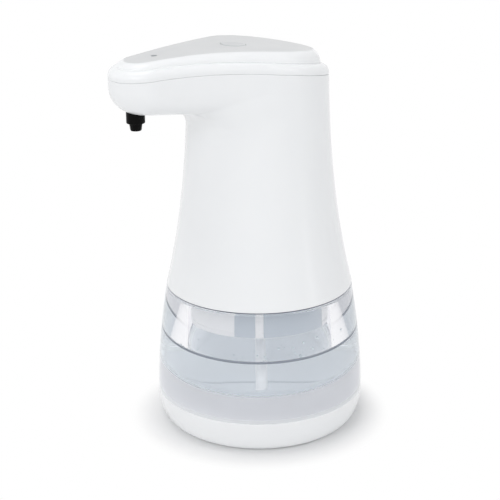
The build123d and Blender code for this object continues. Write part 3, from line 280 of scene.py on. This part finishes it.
# Silicone gives a cloudy grey that lets some light through.
silicone = moulded("translucent_silicone", "DCE0E2", "D2D7DA", (0.4, 0.5), 0.8, 0.01,
                   IOR=1.41, Transmission_Weight=0.35)
neck_seal.data.materials.append(silicone)
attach(neck_seal, "seal")
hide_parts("neck_seal")

# Works inside the head: chassis and covers moulded in plain white, pump parts in natural
# acetal, plated steel, green boards. They keep their solids and get the finish of each.
finish_of = {
    # ABS from an unpolished mould: an even, softly shining white.
    "inner_white": moulded("inner_white_abs", "EEF0F1", "E6E8EA", (0.38, 0.5), 0.6, 0.01, IOR=1.53),
    # Acetal without pigment: creamy and a little waxy.
    "acetal_natural": moulded("natural_acetal", "ECEAE2", "E4E1D6", (0.35, 0.45), 0.6, 0.008, IOR=1.48),
    # Zinc plated steel: grey metal with blurred reflections.
    "steel": moulded("plated_steel", "C9CACC", "B6B8BB", (0.25, 0.4), 0.3, 0.006, Metallic=1.0),
    # Nickel plated strip: warmer and brighter than the steel.
    "nickel": moulded("nickel_strip", "D8D4CC", "C6C1B8", (0.2, 0.32), 0.4, 0.006, Metallic=1.0),
    # Shrunk film round the cells: dark slate with a clear shine.
    "cell_sleeve": moulded("shrunk_cell_sleeve", "474C58", "3C404B", (0.25, 0.35), 0.8, 0.004, IOR=1.5),
    # Solder mask over woven glass: deep green with a fine weave in its shine.
    "circuit_board": moulded("green_solder_mask", "1C6B45", "17593A", (0.3, 0.42), 0.25, 0.02, IOR=1.5),
    # ABS with carbon black: dull black.
    "switch_black": moulded("black_abs", "1D1D1F", "161618", (0.38, 0.5), 0.4, 0.01, IOR=1.53),
    # Soft PVC on the wires: brick red, half matt.
    "wire_jacket": moulded("red_pvc_jacket", "A32A24", "8F231E", (0.4, 0.5), 0.5, 0.01, IOR=1.5),
    "clear_silicone": silicone,
}
for entry in frame["record"]["subparts"]:
    if entry["material_slot"] in finish_of:
        solid = frame["nodes"][entry["node"]]
        solid.data.materials.clear()
        solid.data.materials.append(finish_of[entry["material_slot"]])

# Silicone with white pigment is as pale as the plug round it, so the plug reads as one piece.
white_silicone = moulded("white_silicone", "F1F2F3", "EBEDEE", (0.4, 0.5), 0.8, 0.01, IOR=1.41)
frame["nodes"]["battery_cover_seal"].data.materials[0] = white_silicone

# Side strips: two thin blue-grey strips round one side of the battery room, with a white rib of
# the room between them.
strip_inner, strip_outer, strip_low, strip_high = 35.3, 35.5, 55.0, 74.0
strip_from, strip_to = np.array([-55.3, -34.3]), np.array([-40.3, 14.0])
strip_turn = strip_from + (strip_to - strip_from) * np.r_[0, np.linspace(0, 1, 40), 1][:, None]
strip_turn = np.radians(strip_turn.T)[..., None]
strip_section = rounded([(35.45, strip_low, 0), (strip_outer, strip_low, 0.02),
                         (strip_outer, strip_high, 0.02), (strip_inner, strip_high, 0.02),
                         (strip_inner, strip_low, 0.02), (35.45, strip_low, 0)],
                        arc_points=3)[:0:-1]
strip_middle = strip_section.mean(0)
strip_swell = np.r_[0, np.ones(40), 0][:, None, None]
strip_shape = strip_middle + (strip_section - strip_middle) * strip_swell
strip_r, strip_z = strip_shape[..., 0], strip_shape[..., 1]
blue_grey_strips = skin("blue_grey_side_strips", np.stack([strip_r * np.cos(strip_turn),
                                                   strip_r * np.sin(strip_turn),
                                                   strip_z + 0 * strip_turn], -1))
# A cool blue-grey gives the patch that is seen through the jar on that side.
side_strip_colour = moulded("blue_grey_side_colour", "C2CBD3", "BAC4CD", (0.25, 0.35), 0.8, 0.006, IOR=1.5)
blue_grey_strips.data.materials.append(side_strip_colour)
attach(blue_grey_strips, "head")

# Dip tube: a polyethylene straw pushed on the riser's spigot. It is bent out under the plug
# and hangs down again near the wall, and its foot is cut on the slant so that it can't seal
# itself on the floor.
tube_radius, tube_bore, slant_depth = 2.5, 1.8, -0.7
route = rounded([(0, 54.6, 0), (0, 42.6, 6.0), (31.0, 36.0, 6.0), (31.0, 27.5, 0)],
                step=0.9, arc_points=16)
route = route[np.r_[True, np.linalg.norm(np.diff(route, axis=0), axis=1) > 1e-6]]
way_down = np.gradient(route, axis=0)
way_down = way_down / np.linalg.norm(way_down, axis=1)[:, None]
ahead_x, ahead_y = np.cos(np.radians(-36)), np.sin(np.radians(-36))
line = np.stack([route[:, 0] * ahead_x, route[:, 0] * ahead_y, route[:, 1]], -1)
along_tube = np.stack([way_down[:, 0] * ahead_x, way_down[:, 0] * ahead_y, way_down[:, 1]], -1)
sideways = np.array([-ahead_y, ahead_x, 0])
around = np.linspace(0, 2 * np.pi, 48, endpoint=False)[:, None]
ring = np.cos(around) * sideways + np.sin(around) * np.cross(along_tube, sideways)[:, None]
near_foot = np.linspace(0, 1, len(route))[:, None, None] ** 24
slant = near_foot * slant_depth * (1 + np.cos(around)) * along_tube[:, None]
outer_wall = line[:, None] + tube_radius * ring + slant
inner_wall = (line[:, None] + tube_bore * ring + slant)[::-1]
dip_tube = skin("dip_tube_straw",
                np.concatenate([outer_wall[:1], outer_wall, inner_wall, outer_wall[:1]]))
# Polyethylene without pigment gives a milky white with a soft shine.
milky_pe = moulded("milky_polyethylene", "FAFBFD", "F5F7FA", (0.3, 0.4), 1.5, 0.01,
                   IOR=1.5, Transmission_Weight=0.05)
dip_tube.data.materials.append(milky_pe)
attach(dip_tube, "head")
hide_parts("dip_tube")

# Head shell: one white ABS moulding, a flared round body that grows into the spout. The
# spout's plan is a teardrop, its lower edge is broad and round, and a soft hollow joins its
# underside to the body. It sits on the reservoir's shoulder and turns to lock.
back_radius, nose_radius, nose_reach, side_radius = 33.4, 15.06, 64.0, 212.0
side_s = ((back_radius + side_radius) ** 2 - (nose_radius + side_radius) ** 2
          + nose_reach ** 2) / (2 * nose_reach)
side_x = np.sqrt((back_radius + side_radius) ** 2 - side_s ** 2)
back_turn = np.arctan2(side_s, side_x)
nose_turn = np.arctan2(side_s - nose_reach, side_x)
floor_y, floor_z, floor_lean = -65.1, 164.4, np.radians(5.4)
edge_round, seam_gap = 11.0, 0.05


def teardrop():
    """Points and outward normals round the plan: a round back, a hollow side, a round nose and
    the other side. A point is its arc's centre plus the radius along its normal. Each arc
    touches the next, so an inset only moves a point along its normal."""
    counts = [150, 60, 76, 60]
    back = np.linspace(-back_turn, np.pi + back_turn, counts[0], endpoint=False)
    side = np.linspace(back_turn, nose_turn, counts[1], endpoint=False)
    nose = np.linspace(np.pi + nose_turn, 2 * np.pi - nose_turn, counts[2], endpoint=False)
    other = np.linspace(np.pi - nose_turn, np.pi - back_turn, counts[3], endpoint=False)
    facing = np.concatenate([back, side + np.pi, nose, other + np.pi])
    normal = np.stack([np.cos(facing), np.sin(facing)], -1)
    centres = [[0, 0], [-side_x, -side_s], [0, -nose_reach], [side_x, -side_s]]
    centre = np.repeat(centres, counts, axis=0)
    radius = np.repeat([back_radius, -side_radius, nose_radius, -side_radius], counts)[:, None]
    return centre + normal * radius, normal


def plan_distance(x, y):
    """Signed distance to the teardrop in plan: from the back's circle, the nose's circle or the
    hollow side's circle, by which of the lines between their centres the point lies beyond."""
    x, s = np.abs(x), -y
    beyond_back = side_s * (x - side_x) - side_x * (s - side_s)
    before_nose = -side_x * (s - side_s) - (nose_reach - side_s) * (x - side_x)
    from_back = np.hypot(x, s) - back_radius
    from_nose = np.hypot(x, s - nose_reach) - nose_radius
    from_side = side_radius - np.hypot(x - side_x, s - side_s)
    return np.where(beyond_back > 0, from_back, np.where(before_nose < 0, from_nose, from_side))


def body_radius(z):
    """Radius of the flared body: a parabola's arc that leans in from 45.5 at the foot to 33.4 at
    the top. Height is a quadratic of t, solved for t, and the flare falls off with the square
    of 1 - t."""
    foot_radius = 45.5
    low, middle, high = 70.4, 70.4 + 48.1, 181.7
    a, b = low - 2 * middle + high, 2 * (middle - low)
    t = (-b + np.sqrt(b * b - 4 * a * (low - z))) / (2 * a)
    return back_radius + (foot_radius - back_radius) * (1 - t) ** 2


def head_field(p):
    """Below zero inside the head: the nearer of body and spout, with a round hollow between them
    that is widest where the spout faces down in front and dies out where its sides run into the
    body."""
    x, y, z = p[..., 0], p[..., 1], p[..., 2]
    hollow_round, hollow_start, hollow_run = 12.0, 3, 22
    body = np.hypot(x, y) - body_radius(z)
    beside = plan_distance(x, y) + edge_round
    under = (floor_z - (y - floor_y) * np.tan(floor_lean) - z) * np.cos(floor_lean) + edge_round
    out = np.hypot(np.maximum(beside, 0), np.maximum(under, 0))
    spout = np.minimum(np.maximum(beside, under), 0) + out - edge_round
    ahead = np.clip((-y - hollow_start) / hollow_run, 0, 1)
    faces_down = np.where(out > 0, np.maximum(under, 0) / (out + 1e-9), under > beside)
    k = hollow_round * faces_down * ahead ** 2 * (3 - 2 * ahead)
    in_hollow = np.hypot(np.maximum(k - body, 0), np.maximum(k - spout, 0))
    return np.maximum(k, np.minimum(body, spout)) - in_hollow


def seam_height(y):
    """Height of the arched seam between head and lid: a parabola along the spout."""
    return 178.0 - 0.1471 * y - 0.001439 * y ** 2


# Rows of points run up the body, out under the spout and up its sides. Each round moves every
# point along the field's slope to the skin; only the rows under the spout also move up or down.
plan, plan_normal = teardrop()
ray = plan / np.linalg.norm(plan, axis=1)[:, None]
far = np.linalg.norm(plan, axis=1)
floor_at = floor_z - (plan[:, 1] - floor_y) * np.tan(floor_lean)
foot_count, under_count, side_count = 58, 54, 18
foot_height, room_for_hollow = 70.7, 24
foot_rows = (foot_height + (floor_at - room_for_hollow - foot_height)
             * np.linspace(0, 1, foot_count)[:, None])
step_out = np.linspace(0, 1, under_count + 2)[1:-1, None]
climb = np.interp(step_out, [0, 0.22, 0.8, 1], [0, 0.6, 0.72, 1])
start, stop = foot_rows[-1], floor_at + edge_round
under_rows = start + (stop - start) * climb
under_radius = body_radius(start) + (far - body_radius(start)) * step_out
side_rows = (stop + (seam_height(plan[:, 1]) - seam_gap - stop)
             * np.linspace(0, 1, side_count)[:, None])
heights = np.vstack([foot_rows, under_rows, side_rows])
radii = np.vstack([body_radius(foot_rows), under_radius, np.repeat(far[None], side_count, 0)])
surface = np.concatenate([radii[..., None] * ray, heights[..., None]], -1)
level_only = np.ones((len(heights), 1, 1))
level_only[foot_count:foot_count + under_count] = 0
probe, longest_move = 0.02, 4
for _ in range(14):
    value = head_field(surface)
    slope = np.stack([(head_field(surface + e) - head_field(surface - e)) / (2 * probe)
                      for e in probe * np.eye(3)], -1)
    slope = slope * (1 - level_only * np.array([0, 0, 1]))
    move = np.clip(value / ((slope ** 2).sum(-1) + 1e-6), -longest_move, longest_move)
    surface = surface - move[..., None] * slope
head = skin("head_shell_moulding", surface)
wall_of_head = head.modifiers.new("wall", "SOLIDIFY")
wall_of_head.thickness, wall_of_head.offset = 0.0022, -1.0
soft_rim = head.modifiers.new("rim", "BEVEL")
soft_rim.width, soft_rim.segments = 0.0003, 2
soft_rim.limit_method, soft_rim.angle_limit = "ANGLE", 0.9
head.data.materials.append(white_abs)
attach(head, "head")
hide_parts("head_shell")

# Seam ring: a thin grey ring on the foot of the head, at the seam to the tank. It is painted
# shadow, which shows as a dark hairline.
seam_ring_section = rounded([(44.4, 70.22, 0), (45.25, 70.22, 0.1), (45.4, 70.74, 0.1),
                       (43.6, 70.74, 0.1), (43.6, 70.22, 0.1), (44.4, 70.22, 0)])
seam_shadow_ring = skin("painted_seam_shadow_ring", turned(seam_ring_section, 224))
# Painted shadow: a half matt grey, darker than the white on both sides of it.
seam_shadow_grey = moulded("painted_seam_shadow_grey", "6A6D7A", "60636F", (0.5, 0.6), 0.5, 0.01, IOR=1.5)
seam_shadow_ring.data.materials.append(seam_shadow_grey)
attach(seam_shadow_ring, "head")

# Head lugs: three lugs inside the foot of the head, moulded with it in white ABS, which turn
# in under the lugs of the neck.
head_lugs = lugs("head_lugs", 0, 39.0, 43.0, 72.6, 75.1)
head_lugs.data.materials.append(white_abs)
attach(head_lugs, "head")


# Lid: a white ABS moulding snapped into the head. A rounded band shows above the seam, and
# a shelf inside the band carries the panel.
def plateau_height(y):
    """Height of the panel's crowned top: a parabola along the spout."""
    return 187.8 - 0.1069 * y - 0.001392 * y ** 2


def hooped(inset, height):
    """A profile of insets carried round the teardrop: each point moves in along its normal, and
    height gives its z from its place along the spout."""
    place = plan - inset[:, None, None] * plan_normal
    return np.concatenate([place, height(place[..., 1])[..., None]], -1)


band_top, shelf_depth = 4.65, 9
band = rounded([(-6, seam_gap, 0), (0, seam_gap, 0.25), (0, band_top, 3.6),
                (-shelf_depth, band_top, 0.5), (-shelf_depth, seam_gap, 0.5), (-6, seam_gap, 0)],
               arc_points=17)
lid = skin("lid_band", hooped(-band[:, 0], lambda y: seam_height(y) + band[:, 1:]))
lid.data.materials.append(white_abs)
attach(lid, "head")
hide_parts("top_cover")

# Top panel: a white ABS plate welded on the lid. Its edge is rolled down to the band, its top
# face is pale grey and satin, and two holes pass through it, for the button and the lamp.
panel_foot, button_y, lamp_y = 4.5, -14.0, -57.4
roll = np.linspace(0, np.radians(68), 22)
tuck = np.r_[7.0, 4.4, 4.05 + 3.37 * (1 - np.cos(roll)) / (1 - np.cos(roll[-1]))]
lift = np.r_[0, 0, 0.06 + 0.94 * np.sin(roll) / np.sin(roll[-1])][:, None]
rolled = hooped(tuck, lambda y: ((1 - lift) * (seam_height(y) + panel_foot)
                                 + lift * plateau_height(y)))
spine = np.stack([0 * plan[:, 0], np.clip(plan[:, 1], -nose_reach, 0)], -1)
inward = np.linspace(0, 1, 30)[1:, None, None]
top_place = rolled[-1, :, :2] * (1 - inward) + spine * inward
top = np.concatenate([top_place, plateau_height(top_place[..., 1])[..., None]], -1)
base_line = np.concatenate([spine, (seam_height(spine[:, 1]) + panel_foot)[:, None]], -1)[None]
panel = skin("top_panel_plate", np.concatenate([base_line, rolled, top]))
# The top face is a pale neutral grey with a blurred shine.
grey_abs = moulded("satin_grey_abs", "D9DADA", "D3D4D5", (0.3, 0.4), 0.5, 0.008, IOR=1.53)
panel.data.materials.append(white_abs)
panel.data.materials.append(grey_abs)
middle = np.empty(3 * len(panel.data.polygons))
panel.data.polygons.foreach_get("center", middle)
middle = middle.reshape(-1, 3) * 1000
on_top = middle[:, 2] > plateau_height(middle[:, 1]) - 0.04
panel.data.polygons.foreach_set("material_index", on_top.astype(np.int32))


def bored(piece, name, radius, columns, y):
    """Takes an upright round hole out of a piece: the hole is a pin turned about its own axis,
    which is removed when it has cut."""
    pin = np.array([(0, 180), (radius, 180), (radius, 196), (0, 196)], float)
    cutter = skin(name, turned(pin, columns, (0, y)))
    cut = piece.modifiers.new("hole", "BOOLEAN")
    cut.object, cut.operation, cut.solver = cutter, "DIFFERENCE", "EXACT"
    bpy.context.view_layer.update()
    cut_piece = piece.evaluated_get(bpy.context.evaluated_depsgraph_get())
    done = bpy.data.meshes.new_from_object(cut_piece)
    piece.modifiers.clear()
    piece.data = done
    bpy.data.objects.remove(cutter)


bored(panel, "button_hole", 6.1, 96, button_y)
bored(panel, "lamp_hole", 1.45, 48, lamp_y)
panel.data.set_sharp_from_angle(angle=0.3)
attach(panel, "head")
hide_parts("top_panel")

# Power button: a round ABS cap in the panel, slightly dished for a fingertip, and held by the
# rim under it.
cap = rounded([(0, -6.8, 0), (1.6, -6.8, 0.3), (1.6, -3.4, 0.2), (7.0, -3.4, 0.3), (7.0, -2.4, 0.3),
               (5.8, -2.4, 0.1), (5.8, 0.25, 0.5), (3.2, 0.1, 2.0), (0, 0.02, 0)], step=0.5)
cap_grid = turned(cap, 96, (0, button_y))
cap_grid[..., 2] += plateau_height(cap_grid[..., 1])
button = skin("power_button_cap", cap_grid)
# Grey ABS a shade darker than the panel, and glossier, makes the cap just stand out.
button_abs = moulded("button_grey_abs", "CFD1D2", "C8CACC", (0.25, 0.33), 0.5, 0.006, IOR=1.53)
button.data.materials.append(button_abs)
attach(button, "button")
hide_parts("power_button")

# Indicator lens: a short acrylic light pipe pushed into the panel from below. Its domed end
# stands a little proud.
lens_radius, lens_proud, lens_depth = 1.3, 0.2, -1.6
dome = np.linspace(0, np.pi / 2, 12)[:, None]
lens_dome = np.hstack([lens_radius * np.cos(dome), 0.02 + lens_proud * np.sin(dome)])
lens_profile = np.vstack([[(0, lens_depth), (lens_radius, lens_depth)], lens_dome])
lens_grid = turned(lens_profile, 48, (0, lamp_y))
lens_grid[..., 2] += plateau_height(lens_grid[..., 1])
lens = skin("indicator_light_lens", lens_grid)
# Frosted acrylic over an unlit lamp gives a small smoky grey dot.
frosted = moulded("frosted_smoke_acrylic", "B4B9BD", "AAB0B4", (0.3, 0.4), 0.3, 0.01,
                  IOR=1.49, Transmission_Weight=0.4)
lens.data.materials.append(frosted)
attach(lens, "head")
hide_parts("indicator_lens")

# Nozzle: a black acetal drip tip under the nose. A plain collar meets the head, and the tip
# below it tapers and has shallow flutes for a fingernail.
nozzle_y, nozzle_columns = -68.1, 120
flute_count, flute_depth = 10, 0.035
spout_tip = rounded([(1.2, 168, 0), (1.2, 157.2, 0.25), (2.5, 157.2, 0.3), (3.0, 160.6, 0.2),
                     (4.2, 160.6, 0.35), (4.2, 168, 0.3), (1.2, 168, 0)], step=0.35)
tip_grid = turned(spout_tip, nozzle_columns, (0, nozzle_y))
on_tip = (spout_tip[:, 1] < 160.3) & (spout_tip[:, 0] > 2.2)
flute = np.where(on_tip, flute_depth, 0)[:, None]
flute_turn = np.linspace(0, 2 * np.pi, nozzle_columns, endpoint=False)
wave = 1 - flute * (0.5 + 0.5 * np.cos(flute_count * flute_turn))
tip_grid[..., 0] *= wave
tip_grid[..., 1] = nozzle_y + (tip_grid[..., 1] - nozzle_y) * wave
nozzle = skin("nozzle_drip_tip", tip_grid)
# Black acetal is deep and satin, with hardly any reflection of the bright room.
nozzle_black = moulded("black_acetal", "070707", "050505", (0.32, 0.45), 0.5, 0.01,
                       IOR=1.48, Specular_IOR_Level=0.08)
nozzle.data.materials.append(nozzle_black)
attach(nozzle, "head")
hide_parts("nozzle")

# Sensor window: a polycarbonate lens that lets infrared through, pressed into the underside of
# the spout behind the nozzle and slightly domed.
window_half_width, window_half_length, window_behind = 4.0, 3.0, 9.5
corner_power = 0.35
out_from = np.array([0, 0.55, 0.85, 0.97, 1.0, 1.0])[:, None]
sink = np.array([-0.32, -0.28, -0.22, -0.12, 0.0, 2.8])[:, None]
swing = np.linspace(0, 2 * np.pi, 80, endpoint=False)
box_x = window_half_width * np.sign(np.cos(swing)) * np.abs(np.cos(swing)) ** corner_power
box_y = window_half_length * np.sign(np.sin(swing)) * np.abs(np.sin(swing)) ** corner_power
local_y = window_behind + out_from * box_y
window_grid = np.stack([out_from * box_x,
                        floor_y + local_y * np.cos(floor_lean) + sink * np.sin(floor_lean),
                        floor_z - local_y * np.sin(floor_lean) + sink * np.cos(floor_lean)], -1)
back_of_window = window_grid[-1:].mean(1, keepdims=True) + 0 * window_grid[-1:]
window = skin("sensor_window_lens", np.concatenate([window_grid, back_of_window]))
# Smoked polycarbonate looks black with a hint of plum, and mirrors what is under it.
smoked = moulded("smoked_polycarbonate", "160F14", "120C10", (0.06, 0.1), 2.0, 0.003,
                 IOR=1.58, Coat_Weight=0.5)
window.data.materials.append(smoked)
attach(window, "head")
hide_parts("sensor_window")

# Stage: a sweep of white paper that fades into the white of the backdrop close round the base,
# a room with bright walls and a dim ceiling, and three soft boxes.
floor_half, fade_from, fade_to = 6, 0.047, 0.066
floor_mesh = bpy.data.meshes.new("floor")
floor_mesh.from_pydata([(-floor_half, -floor_half, 0), (floor_half, -floor_half, 0),
                        (floor_half, floor_half, 0), (-floor_half, floor_half, 0)],
                       [], [(0, 1, 2, 3)])
floor = bpy.data.objects.new("floor", floor_mesh)
scene.collection.objects.link(floor)
# Matt paper takes the object's shadow near the base and is plain white beyond it.
paper = bpy.data.materials.new("white_paper_sweep")
paper.use_nodes = True
tree = paper.node_tree
matt = tree.nodes["Principled BSDF"]
matt.inputs["Base Color"].default_value = linear("F2F2F2")
matt.inputs["Roughness"].default_value = 0.9
matt.inputs["Specular IOR Level"].default_value = 0.1
path = add_node(tree, "ShaderNodeLightPath")
seen = add_node(tree, "ShaderNodeMath", {},
                {0: (path, "Is Camera Ray"), 1: (path, "Is Glossy Ray")}, operation="ADD")
seen = add_node(tree, "ShaderNodeMath", {},
                {0: (seen, "Value"), 1: (path, "Is Transmission Ray")}, operation="ADD", use_clamp=True)
place = add_node(tree, "ShaderNodeTexCoord")
away = add_node(tree, "ShaderNodeVectorMath", {}, {"Vector": (place, "Object")}, operation="LENGTH")
fade = add_node(tree, "ShaderNodeMapRange",
                {"From Min": fade_from, "From Max": fade_to, "To Min": 0.0, "To Max": 1.0},
                {"Value": (away, "Value")}, interpolation_type="SMOOTHSTEP")
share = add_node(tree, "ShaderNodeMath", {}, {0: (seen, "Value"), 1: (fade, "Result")},
                 operation="MULTIPLY")
glow = add_node(tree, "ShaderNodeEmission", {"Color": linear("FFFFFF"), "Strength": 1.0})
both = add_node(tree, "ShaderNodeMixShader", {},
                {0: (share, "Value"), 1: (matt, "BSDF"), 2: (glow, "Emission")})
tree.links.new(both.outputs["Shader"], tree.nodes["Material Output"].inputs["Surface"])
floor.data.materials.append(paper)

room = bpy.data.worlds.new("studio_room")
scene.world = room
room.use_nodes = True
tree = room.node_tree
way = add_node(tree, "ShaderNodeTexCoord")
rise_of_way = add_node(tree, "ShaderNodeSeparateXYZ", {}, {"Vector": (way, "Generated")})
blend = add_node(tree, "ShaderNodeMapRange",
                 {"From Min": 0.0, "From Max": 1.0, "To Min": 0.0, "To Max": 1.0},
                 {"Value": (rise_of_way, "Z")})
shade = add_node(tree, "ShaderNodeMix", {COLOUR_A: linear("F8F9FB"), COLOUR_B: linear("9FA0A2")},
                 {"Factor": (blend, "Result")}, data_type="RGBA")
walls = tree.nodes["Background"]
walls.inputs["Strength"].default_value = 1.0
tree.links.new(shade.outputs[COLOUR_OUT], walls.inputs["Color"])
sheet = add_node(tree, "ShaderNodeBackground", {"Color": linear("FFFFFF"), "Strength": 1.0})
path = add_node(tree, "ShaderNodeLightPath")
seen = add_node(tree, "ShaderNodeMath", {},
                {0: (path, "Is Camera Ray"), 1: (path, "Is Glossy Ray")}, operation="ADD")
seen = add_node(tree, "ShaderNodeMath", {},
                {0: (seen, "Value"), 1: (path, "Is Transmission Ray")}, operation="ADD", use_clamp=True)
shown = add_node(tree, "ShaderNodeMixShader", {},
                 {0: (seen, "Value"), 1: (walls, "Background"), 2: (sheet, "Background")})
tree.links.new(shown.outputs["Shader"], tree.nodes["World Output"].inputs["Surface"])


def soft_box(name, place, target, size, watts):
    """A rectangle of light at a place, facing a target."""
    lamp = bpy.data.lights.new(name, "AREA")
    lamp.shape, lamp.size, lamp.size_y, lamp.energy = "RECTANGLE", size[0], size[1], watts
    holder = bpy.data.objects.new(name, lamp)
    facing = (Vector(target) - Vector(place)).to_track_quat("-Z", "Y")
    holder.matrix_world = Matrix.Translation(place) @ facing.to_matrix().to_4x4()
    scene.collection.objects.link(holder)


soft_box("top_box", (-0.1, -0.15, 1.2), (0, 0, 0.1), (0.6, 0.6), 3.2)
soft_box("front_box", (0.45, -0.78, 0.6), (0, 0, 0.08), (0.5, 0.5), 1.9)
soft_box("side_box", (1.05, 0.58, 0.5), (0, 0, 0.1), (0.16, 1.2), 1.3)

# Camera: stands where the photograph was taken, a little above the object and to its right,
# with the lens and the slight roll that fit the circles of base and seams.
azimuth, roll_angle = np.radians(52.7), -0.0098
stand_off, eye_height, aim_height, aim_aside = 0.6384, 0.3108, 0.0859, 0.004354
focal_px, photo_px, sensor_mm = 1383.8, 500, 36.0
along = np.array([np.cos(azimuth), np.sin(azimuth), 0])
stand = np.array([stand_off * np.sin(azimuth), -stand_off * np.cos(azimuth), eye_height])
aim = np.array([0, 0, aim_height]) - aim_aside * along
forward = (aim - stand) / np.linalg.norm(aim - stand)
right = np.cross(forward, [0, 0, 1])
right = right / np.linalg.norm(right)
up = np.cross(right, forward)
roll_cos, roll_sin = np.cos(roll_angle), np.sin(roll_angle)
right, up = roll_cos * right + roll_sin * up, roll_cos * up - roll_sin * right
lens_data = bpy.data.cameras.new("photo_camera")
lens_data.sensor_width, lens_data.lens = sensor_mm, focal_px / photo_px * sensor_mm
camera = bpy.data.objects.new("photo_camera", lens_data)
camera.matrix_world = Matrix((
    (right[0], up[0], -forward[0], stand[0]),
    (right[1], up[1], -forward[1], stand[1]),
    (right[2], up[2], -forward[2], stand[2]),
    (0, 0, 0, 1)))
scene.collection.objects.link(camera)
scene.camera = camera

# Clear pieces cast no shadow and diffuse rays pass them by, so that the inside of the jar is
# lit as it is through real clear plastic. Light may cross many clear walls.
for clear_piece in (reservoir, neck_lugs, soap, drops):
    clear_piece.visible_shadow = False
    clear_piece.visible_diffuse = False
scene.cycles.use_denoising = True
scene.cycles.max_bounces, scene.cycles.transmission_bounces = 40, 40
scene.cycles.diffuse_bounces, scene.cycles.glossy_bounces = 10, 20
